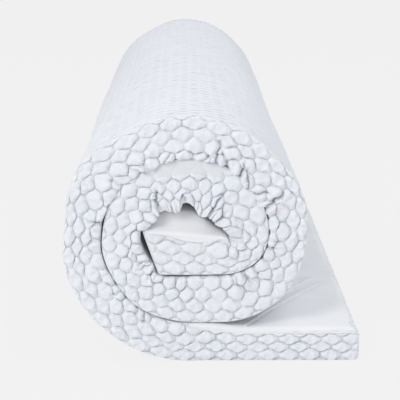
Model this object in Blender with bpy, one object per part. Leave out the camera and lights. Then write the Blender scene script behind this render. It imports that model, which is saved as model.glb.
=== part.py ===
"""A memory foam mattress topper in a zipped, quilted cover, rolled up two full turns.

The slab is a strip that follows one line, the quilted side of the roll: a straight tongue in the
middle, eight quarter arcs with short straights between them, and a straight tail on the floor.
A place in the strip is its length along that line and its depth inwards from it.
"""

import math

import bmesh
import bpy
import numpy as np

# The slab
slab_width = 1.524
slab_thickness = 0.050
tongue_length = 0.095
tail_length = 0.240
head_slant = 0.018

# The roll: radii and straights of the quilted side, as shares of the slab's thickness
quarter_radius_shares = (1.174, 2.158, 2.278, 2.386, 2.435, 3.372, 3.462, 3.499)
half_turn_straight_shares = (0.190, 0.934, 0.0)
swell_share = 0.20
crowding_share = 0.50
turn_gap = 0.0015
least_fold_radius = 0.003
tail_settle_length = 0.075

# The cover's layers
knit_thickness = 0.0016
wadding_thickness = 0.0040
backing_thickness = 0.0008
plain_knit_thickness = 0.0016
layer_gap = 0.0003

# The quilted borders
border_depth = 0.0080
border_inset = 0.0005
puff_height = 0.0035
cell_pitch = 0.0308
cell_side_share = 0.32
head_depth = 0.0060
head_crown = 0.0030
head_corner_radius = 0.0025
seam_width = 0.0016

# The zip in the tail's end
zip_height = 0.020
zip_opening = 0.014
foot_depth = 0.0070
foot_puff_height = 0.0025
tape_width = 0.012
tape_thickness = 0.0008
tape_end_margin = 0.008
coil_width = 0.0026
coil_thickness = 0.0018
coil_slit = 0.0012
coil_end_margin = 0.024
stop_length = 0.0030
stop_rise = 0.0006

# The slider and its pull
slide_gap = 0.0004
slider_length = 0.0120
slider_width = 0.0090
slider_plate = 0.0010
slider_post = 0.0005
slider_lip = 0.0008
foam_room = 0.0005
arch_length = 0.0060
arch_width = 0.0020
arch_wall = 0.0010
arch_opening = 0.0026
pull_length = 0.0240
pull_width = 0.0070
pull_thickness = 0.0009
pull_bar = 0.0012
pull_eye_length = 0.0060
pull_arm = 0.0018
pull_tip_radius = 0.0020
pivot_gap = 0.0004
parked_gap = 0.0020

# Rows of cells in each border
BORDER_ROWS = 4
ROWS_ABOVE_ZIP = 2
ROWS_BELOW_ZIP = 1

# How finely curves are cut into straight runs
QUARTER_STEPS = 12
TONGUE_STEPS = 4
TAIL_STEPS = 8
PATH_SAMPLES = 1200
HEAD_SAMPLES = 20
CORNER_STEPS = 4
COIL_STEPS = 5
MOST_SAG_SHARE = 0.01

MATERIALS = {
    "memory_foam": ((0.86, 0.84, 0.74), 0.9),
    "quilted_knit": ((0.80, 0.83, 0.88), 0.85),
    "fibre_wadding": ((0.88, 0.88, 0.88), 0.95),
    "backing_cloth": ((0.82, 0.82, 0.82), 0.9),
    "plain_knit": ((0.84, 0.84, 0.85), 0.85),
    "seam_thread": ((0.42, 0.56, 0.68), 0.7),
    "zip_tape": ((0.78, 0.79, 0.80), 0.8),
    "nylon_coil": ((0.80, 0.80, 0.80), 0.4),
    "zip_metal": ((0.62, 0.62, 0.63), 0.35),
}


def clear_scene():
    for obj in list(bpy.data.objects):
        bpy.data.objects.remove(obj, do_unlink=True)


def new_collection(name):
    collection = bpy.data.collections.new(name)
    bpy.context.scene.collection.children.link(collection)
    return collection


def new_material(name):
    colour, roughness = MATERIALS[name]
    material = bpy.data.materials.new(name)
    material.use_nodes = True
    shader = material.node_tree.nodes["Principled BSDF"]
    shader.inputs["Base Color"].default_value = (*colour, 1.0)
    shader.inputs["Roughness"].default_value = roughness
    shader.inputs["Metallic"].default_value = 1.0 if name == "zip_metal" else 0.0
    return material


# The line that the roll follows


def roll_runs():
    """The runs of the quilted side from the tongue to the tail, each a length and a radius, 0 if straight."""
    runs = [(tongue_length, 0.0)]
    for index, share in enumerate(quarter_radius_shares):
        radius = share * slab_thickness
        runs.append((radius * math.pi / 2, radius))
        if index % 2 and index + 1 < len(quarter_radius_shares):
            runs.append((half_turn_straight_shares[index // 2] * slab_thickness, 0.0))
    runs.append((tail_length, 0.0))
    return [run for run in runs if run[0] > 0]


def run_starts(runs):
    """Where each run starts: its length along the line, x, z and heading."""
    along, x, z, heading = 0.0, 0.0, 0.0, 0.0
    starts = []
    for length, radius in runs:
        starts.append((along, x, z, heading))
        if radius:
            turned = heading + length / radius
            x += radius * (math.sin(turned) - math.sin(heading))
            z += radius * (math.cos(heading) - math.cos(turned))
            heading = turned
        else:
            x += length * math.cos(heading)
            z += length * math.sin(heading)
        along += length
    return starts


RUNS = roll_runs()
STARTS = run_starts(RUNS)
LINE_LENGTH = sum(length for length, _ in RUNS)
TAIL_START = LINE_LENGTH - tail_length


def on_line(along):
    """x, z and heading at a length along the line. It runs on straight past both ends."""
    index = 0
    while index + 1 < len(STARTS) and along >= STARTS[index + 1][0]:
        index += 1
    start, x, z, heading = STARTS[index]
    radius = RUNS[index][1]
    gone = along - start
    if not radius:
        return x + gone * math.cos(heading), z + gone * math.sin(heading), heading
    turned = heading + gone / radius
    x += radius * (math.sin(turned) - math.sin(heading))
    z += radius * (math.cos(heading) - math.cos(turned))
    return x, z, turned


def line_stations():
    """The lengths along the line at which every layer is cut into straight runs."""
    stations = [0.0]
    for index, ((length, radius), start) in enumerate(zip(RUNS, STARTS)):
        steps = QUARTER_STEPS if radius else 1
        if index == 0:
            steps = TONGUE_STEPS
        if index == len(RUNS) - 1:
            steps = TAIL_STEPS
        stations += [start[0] + length * (step + 1) / steps for step in range(steps)]
    return stations


def thickness_table():
    """The slab's thickness along the line: swollen in the roll, but clear of the turn inside and of its own fold."""
    along = np.linspace(0.0, LINE_LENGTH, PATH_SAMPLES)
    points = np.array([on_line(place)[:2] for place in along])
    head_shares = np.linspace(0.0, 1.0, HEAD_SAMPLES)
    head_height = slab_thickness * (1 + swell_share)
    head_end = np.outer(head_shares, (-head_slant, head_height))
    behind = np.concatenate([points, head_end])
    behind_along = np.concatenate([along, np.zeros(HEAD_SAMPLES)])
    apart = np.hypot(*(points[:, None] - behind[None]).transpose(2, 0, 1))
    one_turn_back = math.pi * quarter_radius_shares[0] * slab_thickness
    apart[behind_along[None] > along[:, None] - one_turn_back] = np.inf
    room = apart.min(axis=1) - turn_gap
    swollen = np.full(PATH_SAMPLES, slab_thickness * (1 + swell_share))
    swollen[along > TAIL_START + tail_settle_length] = slab_thickness
    fold = np.full(PATH_SAMPLES, np.inf)
    for (length, radius), start in zip(RUNS, STARTS):
        if radius:
            inside = (along >= start[0]) & (along <= start[0] + length)
            fold[inside] = radius - least_fold_radius
            swollen[inside] += crowding_share * slab_thickness**2 / radius
    most = np.minimum(np.minimum(room, swollen), fold)
    half = max(1, round(slab_thickness / 2 / (along[1] - along[0])))
    window = np.lib.stride_tricks.sliding_window_view
    least = window(np.pad(most, half, mode="edge"), 2 * half + 1).min(axis=1)
    even = window(np.pad(least, half, mode="edge"), 2 * half + 1).mean(axis=1)
    return along, even


THICKNESS_AT, THICKNESS = thickness_table()


def thickness(along):
    return float(np.interp(along, THICKNESS_AT, THICKNESS))


def in_strip(along, depth):
    """x and z, from the line's own start, of a place in the strip. The head's end leans with the depth."""
    lean = head_slant * max(0.0, 1 - along / tongue_length) * depth / thickness(along)
    x, z, heading = on_line(along)
    return (
        x - lean * math.cos(heading) - depth * math.sin(heading),
        z - lean * math.sin(heading) + depth * math.cos(heading),
    )


def line_box():
    places = [in_strip(along, 0.0) for along in line_stations()]
    xs = [x for x, _ in places]
    zs = [z for _, z in places]
    return min(xs), max(xs), min(zs)


LEFT, RIGHT, FLOOR = line_box()
MIDDLE = (LEFT + RIGHT) / 2
FOOT_X = RIGHT - MIDDLE


def strip_point(along, depth):
    """A place in the strip, in the part's frame: x is centred and z is up from the floor."""
    x, z = in_strip(along, depth)
    return x - MIDDLE, z - FLOOR


# Shapes


def extruded(name, outline, low, high, collection, material, axis="Y"):
    """A closed outline filled and extruded along Y, its points x and z, or along Z, its points x and y."""
    data = bpy.data.curves.new(name, "CURVE")
    data.dimensions = "2D"
    data.fill_mode = "BOTH"
    data.extrude = (high - low) / 2
    spline = data.splines.new("POLY")
    spline.points.add(len(outline) - 1)
    for point, (across, up) in zip(spline.points, outline):
        point.co = (across, up, 0.0, 1.0)
    spline.use_cyclic_u = True
    obj = bpy.data.objects.new(name, data)
    if axis == "Y":
        obj.rotation_euler = (math.pi / 2, 0.0, 0.0)
        obj.location = (0.0, (low + high) / 2, 0.0)
    else:
        obj.location = (0.0, 0.0, (low + high) / 2)
    data.materials.append(material)
    collection.objects.link(obj)
    return obj


def as_mesh(obj):
    """The object made a welded mesh in place, so that a Boolean can take it."""
    bpy.context.view_layer.update()
    graph = bpy.context.evaluated_depsgraph_get()
    data = bpy.data.meshes.new_from_object(obj.evaluated_get(graph))
    data.transform(obj.matrix_world)
    bm = bmesh.new()
    bm.from_mesh(data)
    bmesh.ops.remove_doubles(bm, verts=bm.verts, dist=layer_gap / 10)
    bmesh.ops.recalc_face_normals(bm, faces=bm.faces)
    bm.to_mesh(data)
    bm.free()
    name = obj.name
    collection = obj.users_collection[0]
    bpy.data.objects.remove(obj, do_unlink=True)
    made = bpy.data.objects.new(name, data)
    collection.objects.link(made)
    return made


def set_origin(obj, place):
    """Moves the object's origin to a place and leaves its mesh where it is."""
    for vertex in obj.data.vertices:
        vertex.co.x -= place[0]
        vertex.co.y -= place[1]
        vertex.co.z -= place[2]
    obj.location = place


def add_boolean(obj, helper, operation):
    helper.hide_render = True
    helper.display_type = "WIRE"
    modifier = obj.modifiers.new(helper.name, "BOOLEAN")
    modifier.operation = operation
    modifier.solver = "EXACT"
    modifier.object = helper


def layer(name, outer_depth, inner_depth, start, end, low, high, collection, material):
    """A sheet of the slab between two depths, each a function of the length along the line."""
    inside = [along for along in line_stations() if start < along < end]
    stations = [start, *inside, end]
    outline = [strip_point(along, outer_depth(along)) for along in stations]
    outline += [strip_point(along, inner_depth(along)) for along in reversed(stations)]
    return extruded(name, outline, low, high, collection, material)


def honeycomb(columns, rows):
    """A flat sheet of brick-laid six-sided cells, with the rows at its two long edges cut at their middle."""
    bm = bmesh.new()
    side = cell_side_share / 2
    for row in range(rows + 1):
        shift = 0.5 * (row % 2)
        for column in range(-1, columns + 1):
            middle = column + 0.5 + shift
            corners = (
                (middle + 0.5, row + side),
                (middle, row + 1 - side),
                (middle - 0.5, row + side),
                (middle - 0.5, row - side),
                (middle, row - 1 + side),
                (middle + 0.5, row - side),
            )
            bm.faces.new([bm.verts.new((u, v, 0.0)) for u, v in corners])
    bmesh.ops.remove_doubles(bm, verts=bm.verts, dist=side / 10)
    cuts = (
        ((0.0, 0.0, 0.0), (-1.0, 0.0, 0.0)),
        ((columns, 0.0, 0.0), (1.0, 0.0, 0.0)),
        ((0.0, 0.0, 0.0), (0.0, -1.0, 0.0)),
        ((0.0, rows, 0.0), (0.0, 1.0, 0.0)),
    )
    for place, normal in cuts:
        geometry = [*bm.verts, *bm.edges, *bm.faces]
        bmesh.ops.bisect_plane(
            bm, geom=geometry, dist=side / 10, plane_co=place, plane_no=normal, clear_outer=True
        )
    return bm


def puffed_block(name, columns, rows, rise, depth, to_part, needs_split, collection, material):
    """A quilted strip: the honeycomb sheet with each cell raised to a puff, and a flat back that closes it.

    to_part takes u in cells, v in rows and the height above the sheet, and gives the place in the part.
    """
    bm = honeycomb(columns, rows)
    for edge in [edge for edge in bm.edges if edge.is_boundary and needs_split(edge)]:
        bmesh.utils.edge_split(edge, edge.verts[0], 0.5)
    bm.normal_update()
    bmesh.ops.poke(bm, faces=bm.faces, offset=rise, center_mode="MEAN")
    rim = [edge for edge in bm.edges if edge.is_boundary]
    grown = bmesh.ops.extrude_edge_only(bm, edges=rim)["geom"]
    for vertex in [item for item in grown if isinstance(item, bmesh.types.BMVert)]:
        vertex.co.z = rise - depth
    for vertex in bm.verts:
        vertex.co = to_part(*vertex.co)
    back_edges = [edge for edge in bm.edges if edge.is_boundary]
    bmesh.ops.triangle_fill(bm, use_beauty=True, edges=back_edges)
    bmesh.ops.recalc_face_normals(bm, faces=bm.faces)
    data = bpy.data.meshes.new(name)
    bm.to_mesh(data)
    bm.free()
    data.materials.append(material)
    obj = bpy.data.objects.new(name, data)
    collection.objects.link(obj)
    return obj


# The slab and its cover

HALF_WIDTH = slab_width / 2
BORDER_BACK = HALF_WIDTH - border_depth
SLAB_END = BORDER_BACK - layer_gap
PANEL_END = BORDER_BACK - seam_width - 2 * layer_gap
FOAM_DEPTH = knit_thickness + wadding_thickness + backing_thickness + 3 * layer_gap
TAPE_FRONT = FOOT_X - foot_depth - layer_gap
TAPE_BACK = TAPE_FRONT - tape_thickness
FOOT_BACK = TAPE_BACK - slide_gap - slider_plate - foam_room
LAYERS_START = head_depth + layer_gap
LAYERS_END = LINE_LENGTH - foot_depth - layer_gap
FOAM_END = LINE_LENGTH - (FOOT_X - FOOT_BACK)


def from_quilted_side(depth):
    return lambda along: depth


def from_plain_side(depth):
    return lambda along: thickness(along) - depth


def make_layers(collection, materials):
    wadding_depth = knit_thickness + layer_gap
    backing_depth = wadding_depth + wadding_thickness + layer_gap
    sheets = (
        ("quilted_panel", 0.0, knit_thickness, LAYERS_END, PANEL_END, "quilted_knit"),
        ("quilt_wadding", wadding_depth, wadding_depth + wadding_thickness, FOAM_END, SLAB_END, "fibre_wadding"),
        ("quilt_backing", backing_depth, backing_depth + backing_thickness, FOAM_END, SLAB_END, "backing_cloth"),
    )
    for name, outer, inner, end, side, finish in sheets:
        depths = from_quilted_side(outer), from_quilted_side(inner)
        layer(name, *depths, LAYERS_START, end, -side, side, collection, materials[finish])
    depths = from_quilted_side(FOAM_DEPTH), from_plain_side(plain_knit_thickness + layer_gap)
    foam = materials["memory_foam"]
    layer("foam_slab", *depths, LAYERS_START, FOAM_END, -SLAB_END, SLAB_END, collection, foam)
    depths = from_plain_side(plain_knit_thickness), from_plain_side(0.0)
    plain = materials["plain_knit"]
    layer("plain_panel", *depths, LAYERS_START, LAYERS_END, -SLAB_END, SLAB_END, collection, plain)


def make_side_borders(collection, material):
    """The two long borders, front and rear, each one strip of honeycomb quilting wound with the slab."""
    columns = round(LINE_LENGTH / cell_pitch)
    pitch = LINE_LENGTH / columns

    def to_side(facing):
        def to_part(u, v, height):
            along = u * pitch
            depth = border_inset + (thickness(along) - 2 * border_inset) * v / BORDER_ROWS
            x, z = strip_point(along, depth)
            return x, facing * (HALF_WIDTH - puff_height + height), z

        return to_part

    def sags(edge):
        """True for an edge of the quilted side that would cut a tight bend's corner."""
        if max(vertex.co.y for vertex in edge.verts) > 0:
            return False
        ends = sorted(vertex.co.x * pitch for vertex in edge.verts)
        turn = on_line(ends[1])[2] - on_line(ends[0])[2]
        return (ends[1] - ends[0]) * turn / 8 > MOST_SAG_SHARE * slab_thickness

    for name, facing in (("border_front", -1), ("border_rear", 1)):
        to_part = to_side(facing)
        size = columns, BORDER_ROWS, puff_height, border_depth
        puffed_block(name, *size, to_part, sags, collection, material)


def arc(centre, radius, first, last, steps):
    """Points on an arc between two angles in degrees."""
    angles = [math.radians(first + (last - first) * step / steps) for step in range(steps + 1)]
    return [(centre[0] + radius * math.cos(a), centre[1] + radius * math.sin(a)) for a in angles]


def make_head_border(collection, material):
    """The border across the tongue's end: its outer face is crowned and leans with the slab's end."""
    most = thickness(0.0) - border_inset
    low, high = border_inset + head_corner_radius, most - head_corner_radius
    profile = [(head_depth, border_inset)]
    profile += arc((head_crown + head_corner_radius, low), head_corner_radius, 270, 180, CORNER_STEPS)
    for step in range(1, CORNER_STEPS):
        share = step / CORNER_STEPS
        bulge = head_crown * 4 * share * (1 - share)
        profile.append((head_crown - bulge, low + (high - low) * share))
    profile += arc((head_crown + head_corner_radius, high), head_corner_radius, 180, 90, CORNER_STEPS)
    profile.append((head_depth, most))
    outline = [strip_point(along, depth) for along, depth in profile]
    extruded("border_head", outline, -SLAB_END, SLAB_END, collection, material)


def make_foot_borders(collection, material):
    """The quilted strips above and below the zip, across the tail's end."""
    length = 2 * SLAB_END
    columns = round(length / cell_pitch)
    strips = (
        ("border_foot_upper", zip_height + zip_opening / 2, slab_thickness - border_inset, ROWS_ABOVE_ZIP),
        ("border_foot_lower", border_inset, zip_height - zip_opening / 2, ROWS_BELOW_ZIP),
    )
    for name, low, high, rows in strips:

        def to_part(u, v, height, low=low, high=high, rows=rows):
            y = -SLAB_END + length * u / columns
            return FOOT_X - foot_puff_height + height, y, low + (high - low) * v / rows

        size = columns, rows, foot_puff_height, foot_depth
        puffed_block(name, *size, to_part, lambda edge: False, collection, material)


def make_seams(collection, material):
    """The overlocked bead in the groove between each side border and the quilted panel."""
    depths = from_quilted_side(layer_gap), from_quilted_side(knit_thickness)
    for name, side in (("seam_front", -1), ("seam_rear", 1)):
        ends = sorted((side * (BORDER_BACK - layer_gap), side * (PANEL_END + layer_gap)))
        layer(name, *depths, LAYERS_START, LAYERS_END, *ends, collection, material)


# The zip

COIL_BACK = TAPE_FRONT + layer_gap
COIL_FRONT = COIL_BACK + coil_thickness
COIL_END = SLAB_END - coil_end_margin
PLATE_FRONT = COIL_FRONT + slide_gap + slider_plate
PULL_X = PLATE_FRONT + pivot_gap + math.hypot(pull_thickness, pull_bar) / 2
SLIDER_Y = -COIL_END + slider_length / 2 + parked_gap


def box_outline(low_x, high_x, low, high):
    return [(low_x, low), (high_x, low), (high_x, high), (low_x, high)]


def make_tapes_and_coils(collection, materials):
    """Two tapes sewn behind the strips, each with its row of coil along the slit between them."""
    for name, side in (("upper", 1), ("lower", -1)):
        near = zip_height + side * coil_slit / 2
        far = near + side * tape_width
        outline = box_outline(TAPE_BACK, TAPE_FRONT, *sorted((near, far)))
        end = SLAB_END - tape_end_margin
        extruded(f"zip_tape_{name}", outline, -end, end, collection, materials["zip_tape"])
        low, high = sorted((near, near + side * coil_width))
        round_radius = (high - low) / 2
        rise = coil_thickness / round_radius
        crown = arc((0.0, 0.0), round_radius, -90, 90, COIL_STEPS)
        outline = [(COIL_BACK + x * rise, (low + high) / 2 + z) for x, z in crown]
        extruded(f"zip_coil_{name}", outline, -COIL_END, COIL_END, collection, materials["nylon_coil"])


def make_stops(collection, material):
    """The two stops, each clamped across both rows of coil just past its end."""
    reach = coil_slit / 2 + coil_width
    outline = box_outline(COIL_BACK, COIL_FRONT + stop_rise, zip_height - reach, zip_height + reach)
    for name, side in (("zip_stop_front", -1), ("zip_stop_rear", 1)):
        near = COIL_END + layer_gap
        ends = sorted((side * near, side * (near + stop_length)))
        extruded(name, outline, *ends, collection, material)


def slider_profile():
    """The slider's section: two plates joined by a thin post in the slit, with lips turned in at their edges."""
    back = TAPE_BACK - slide_gap
    front = COIL_FRONT + slide_gap
    half = slider_width / 2
    post = slider_post / 2
    lip_end = front - slider_lip
    lip = [
        (front, post),
        (front, half - slider_plate),
        (lip_end, half - slider_plate),
        (lip_end, half),
        (front + slider_plate, half),
    ]
    inner = [(back, post), (back, half), (back - slider_plate, half)]
    outline = [(x, -z) for x, z in reversed(lip)] + [(x, -z) for x, z in inner]
    outline += list(reversed(inner)) + lip
    return [(x, zip_height + z) for x, z in outline]


def make_slider(collection, helpers, material):
    """The slider, with the arch on its front plate that holds the pull's bar."""
    ends = SLIDER_Y - slider_length / 2, SLIDER_Y + slider_length / 2
    slider = as_mesh(extruded("zip_slider", slider_profile(), *ends, collection, material))
    opening_top = PULL_X + math.hypot(pull_thickness, pull_bar) / 2 + pivot_gap
    top = opening_top + arch_wall
    foot = PLATE_FRONT - slider_plate / 2
    half, inner = arch_length / 2, arch_opening / 2
    shoulder = (half - inner) / 2
    outline = [
        (foot, -half),
        (top - shoulder, -half),
        (top, -half + shoulder),
        (top, half - shoulder),
        (top - shoulder, half),
        (foot, half),
        (foot, inner),
        (opening_top, inner),
        (opening_top, -inner),
        (foot, -inner),
    ]
    placed = [(x, SLIDER_Y + y) for x, y in outline]
    ends = zip_height - arch_width / 2, zip_height + arch_width / 2
    arch = as_mesh(extruded("slider_arch", placed, *ends, helpers, material, axis="Z"))
    add_boolean(slider, arch, "UNION")
    set_origin(slider, (PULL_X, SLIDER_Y, zip_height))
    return slider


def make_pull(collection, helpers, material, slider):
    """The pull: a flat tab with an eye at one end, whose bar lies under the slider's arch."""
    half = pull_width / 2
    end = pull_length - pull_tip_radius
    tip = arc((end, half - pull_tip_radius), pull_tip_radius, 90, 0, CORNER_STEPS)
    side = [(-pull_bar / 2, half), *tip]
    outline = [(y, zip_height + z) for y, z in side]
    outline += [(y, zip_height - z) for y, z in reversed(side)]
    ends = PULL_X - pull_thickness / 2, PULL_X + pull_thickness / 2
    placed = [(SLIDER_Y + y, z) for y, z in outline]
    pull = slab_across_x("zip_pull", placed, *ends, collection, material)
    inner = half - pull_arm
    eye = [
        (pull_bar / 2, zip_height - inner),
        (pull_eye_length, zip_height - inner),
        (pull_eye_length, zip_height + inner),
        (pull_bar / 2, zip_height + inner),
    ]
    placed = [(SLIDER_Y + y, z) for y, z in eye]
    overrun = pull_thickness
    cutter = slab_across_x("pull_eye", placed, ends[0] - overrun, ends[1] + overrun, helpers, material)
    add_boolean(pull, cutter, "DIFFERENCE")
    set_origin(pull, (PULL_X, SLIDER_Y, zip_height))
    pull.parent = slider
    pull.matrix_parent_inverse = slider.matrix_world.inverted()


def slab_across_x(name, outline, low, high, collection, material):
    """A flat outline of y and z, filled and extruded along X, as a welded mesh."""
    flat = [(z, y) for y, z in outline]
    obj = as_mesh(extruded(name, flat, -high, -low, collection, material, axis="Z"))
    for vertex in obj.data.vertices:
        z, y, x = vertex.co
        vertex.co = (-x, y, z)
    return obj


def main():
    clear_scene()
    collection = new_collection("mattress_topper")
    helpers = new_collection("cutters")
    materials = {name: new_material(name) for name in MATERIALS}
    make_layers(collection, materials)
    make_side_borders(collection, materials["quilted_knit"])
    make_head_border(collection, materials["quilted_knit"])
    make_foot_borders(collection, materials["quilted_knit"])
    make_seams(collection, materials["seam_thread"])
    make_tapes_and_coils(collection, materials)
    make_stops(collection, materials["nylon_coil"])
    slider = make_slider(collection, helpers, materials["zip_metal"])
    bpy.context.view_layer.update()
    make_pull(collection, helpers, materials["zip_metal"], slider)
    print(f"slab length along the quilted side {LINE_LENGTH:.4f} m")
    print(f"thickness from {THICKNESS.min():.4f} to {THICKNESS.max():.4f} m")
    print(f"slider pivot at x {PULL_X:.5f}, y {SLIDER_Y:.5f}, z {zip_height:.5f}")
    print(f"slider travel {2 * (COIL_END - parked_gap) - slider_length:.4f} m")


main()
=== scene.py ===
"""The looks of a rolled memory foam mattress topper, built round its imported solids.

The slab is a strip that follows one line, the quilted side of the roll. A place in the strip is its
length along that line, its depth inwards from it, and y. Every soft piece is made flat in those
terms and then wound.
"""

import functools
import math

import bpy
import numpy as np
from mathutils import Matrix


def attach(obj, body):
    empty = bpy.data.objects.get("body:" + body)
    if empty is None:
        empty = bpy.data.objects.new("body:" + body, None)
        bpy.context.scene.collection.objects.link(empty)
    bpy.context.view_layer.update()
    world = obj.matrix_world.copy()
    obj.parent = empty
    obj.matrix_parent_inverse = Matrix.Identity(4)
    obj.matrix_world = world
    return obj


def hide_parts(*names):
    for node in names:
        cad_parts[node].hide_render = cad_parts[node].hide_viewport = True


bl_info = {
    "name": "Rolled mattress topper",
    "version": (1, 0, 0),
    "blender": (4, 5, 0),
    "location": "View3D > Sidebar > Topper",
    "description": "Cover, quilting, zip and studio for a rolled mattress topper",
    "category": "Object",
}

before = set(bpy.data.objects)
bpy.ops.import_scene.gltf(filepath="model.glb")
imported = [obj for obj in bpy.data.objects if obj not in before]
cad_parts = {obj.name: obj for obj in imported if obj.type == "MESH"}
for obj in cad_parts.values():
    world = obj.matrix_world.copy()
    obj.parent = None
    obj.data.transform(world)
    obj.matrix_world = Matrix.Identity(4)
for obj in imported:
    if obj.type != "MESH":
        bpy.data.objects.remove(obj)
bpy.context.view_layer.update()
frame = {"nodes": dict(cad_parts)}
MM = 0.001
BODY = "topper"

# The roll, as in the part: lengths in metres, radii and straights as shares of the thickness

SLAB_THICKNESS = 0.050
TONGUE_LENGTH = 0.095
TAIL_LENGTH = 0.240
HEAD_SLANT = 0.018
QUARTER_RADIUS_SHARES = (1.174, 2.158, 2.278, 2.386, 2.435, 3.372, 3.462, 3.499)
HALF_TURN_STRAIGHT_SHARES = (0.190, 0.934, 0.0)
SWELL_SHARE = 0.20
CROWDING_SHARE = 0.50
TURN_GAP = 0.0015
LEAST_FOLD_RADIUS = 0.003
TAIL_SETTLE_LENGTH = 0.075
PATH_SAMPLES = 1200
HEAD_SAMPLES = 20
BEND_SOFTNESS = 0.6

# Where the part's layers lie

SLAB_END = 0.7537
PANEL_END = 0.7518
LAYERS_START = 0.0063
FOOT_DEPTH = 0.0073
FOAM_FOOT_DEPTH = 0.0100
FOAM_DEPTH = 0.0073
ZIP_HEIGHT = 0.020
ZIP_OPENING = 0.014


# Small helpers


def linear(hex_code):
    """An sRGB hex colour as the linear values that Blender's sockets take."""
    parts = [int(hex_code[i : i + 2], 16) / 255 for i in (1, 3, 5)]
    return tuple(c / 12.92 if c <= 0.04045 else ((c + 0.055) / 1.055) ** 2.4 for c in parts)


def set_inputs(tree, node, values):
    """Sets a node's inputs, each to a value, or to the socket or the node's first output that feeds it."""
    for key, value in values.items():
        if isinstance(value, bpy.types.Node):
            value = value.outputs[0]
        if isinstance(value, bpy.types.NodeSocket):
            tree.links.new(value, node.inputs[key])
        else:
            node.inputs[key].default_value = value


def add_node(tree, kind, *values, **settings):
    """A node with its settings. Values fill its inputs in order, and a dict fills the ones that it names.

    A kind in capitals is the operation of a Math node.
    """
    if kind.isupper():
        kind, settings = "ShaderNodeMath", {"operation": kind}
    node = tree.nodes.new(kind)
    for name, value in settings.items():
        setattr(node, name, value)
    for place, value in enumerate(values):
        set_inputs(tree, node, value if isinstance(value, dict) else {place: value})
    return node


def points_of(mesh):
    """A mesh's points, one row each."""
    points = np.zeros(len(mesh.vertices) * 3, np.float32)
    mesh.vertices.foreach_get("co", points)
    return points.reshape(-1, 3)


def window_of(values, half, pick):
    """Each value replaced by what pick, such as a mean, makes of it and half values on each side of it."""
    window = np.lib.stride_tricks.sliding_window_view(np.pad(values, half, mode="edge"), 2 * half + 1)
    return pick(window, axis=1)


WAVES_IN_NOISE = 7
MOST_NOISE = 3.2


def wobble(across, up, size, seed):
    """Smooth noise between about -1 and 1, whose swells are about size wide."""
    rng = np.random.default_rng(seed)
    total = np.zeros(np.broadcast(across, up).shape)
    for _ in range(WAVES_IN_NOISE):
        turn = rng.uniform(0, 2 * math.pi)
        rate = 2 * math.pi / size * rng.uniform(0.45, 1.1)
        phase = rng.uniform(0, 2 * math.pi)
        total = total + np.sin(rate * (across * math.cos(turn) + up * math.sin(turn)) + phase)
    return total / MOST_NOISE


def smooth_step(low, high, value):
    """A smooth rise from 0 at low to 1 at high."""
    share = np.clip((value - low) / (high - low), 0.0, 1.0)
    return share * share * (3 - 2 * share)


# The line that the roll follows


def roll_runs():
    """The runs of the quilted side from the tongue to the tail, each a length and a radius, 0 if straight."""
    runs = [(TONGUE_LENGTH, 0.0)]
    for index, share in enumerate(QUARTER_RADIUS_SHARES):
        radius = share * SLAB_THICKNESS
        runs.append((radius * math.pi / 2, radius))
        if index % 2 and index + 1 < len(QUARTER_RADIUS_SHARES):
            runs.append((HALF_TURN_STRAIGHT_SHARES[index // 2] * SLAB_THICKNESS, 0.0))
    runs.append((TAIL_LENGTH, 0.0))
    return [run for run in runs if run[0] > 0]


def run_starts(runs):
    """Where each run starts: length along the line, x, z and heading."""
    along, x, z, heading = 0.0, 0.0, 0.0, 0.0
    starts = []
    for length, radius in runs:
        starts.append((along, x, z, heading))
        if radius:
            turned = heading + length / radius
            x += radius * (math.sin(turned) - math.sin(heading))
            z += radius * (math.cos(heading) - math.cos(turned))
            heading = turned
        else:
            x += length * math.cos(heading)
            z += length * math.sin(heading)
        along += length
    return starts


RUNS = np.array(roll_runs())
STARTS = np.array(run_starts(RUNS))
LINE_LENGTH = float(RUNS[:, 0].sum())
TAIL_START = LINE_LENGTH - TAIL_LENGTH


def on_line(along):
    """x, z and heading at lengths along the line."""
    along = np.asarray(along, float)
    index = np.clip(np.searchsorted(STARTS[:, 0], along, side="right") - 1, 0, len(RUNS) - 1)
    start, x, z, heading = (np.take(STARTS[:, k], index) for k in range(4))
    radius = np.take(RUNS[:, 1], index)
    gone = along - start
    bent = radius > 0
    safe = np.where(bent, radius, 1.0)
    turned = heading + np.where(bent, gone / safe, 0.0)
    x = x + np.where(bent, safe * (np.sin(turned) - np.sin(heading)), gone * np.cos(heading))
    z = z + np.where(bent, safe * (np.cos(heading) - np.cos(turned)), gone * np.sin(heading))
    return x, z, turned


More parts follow.
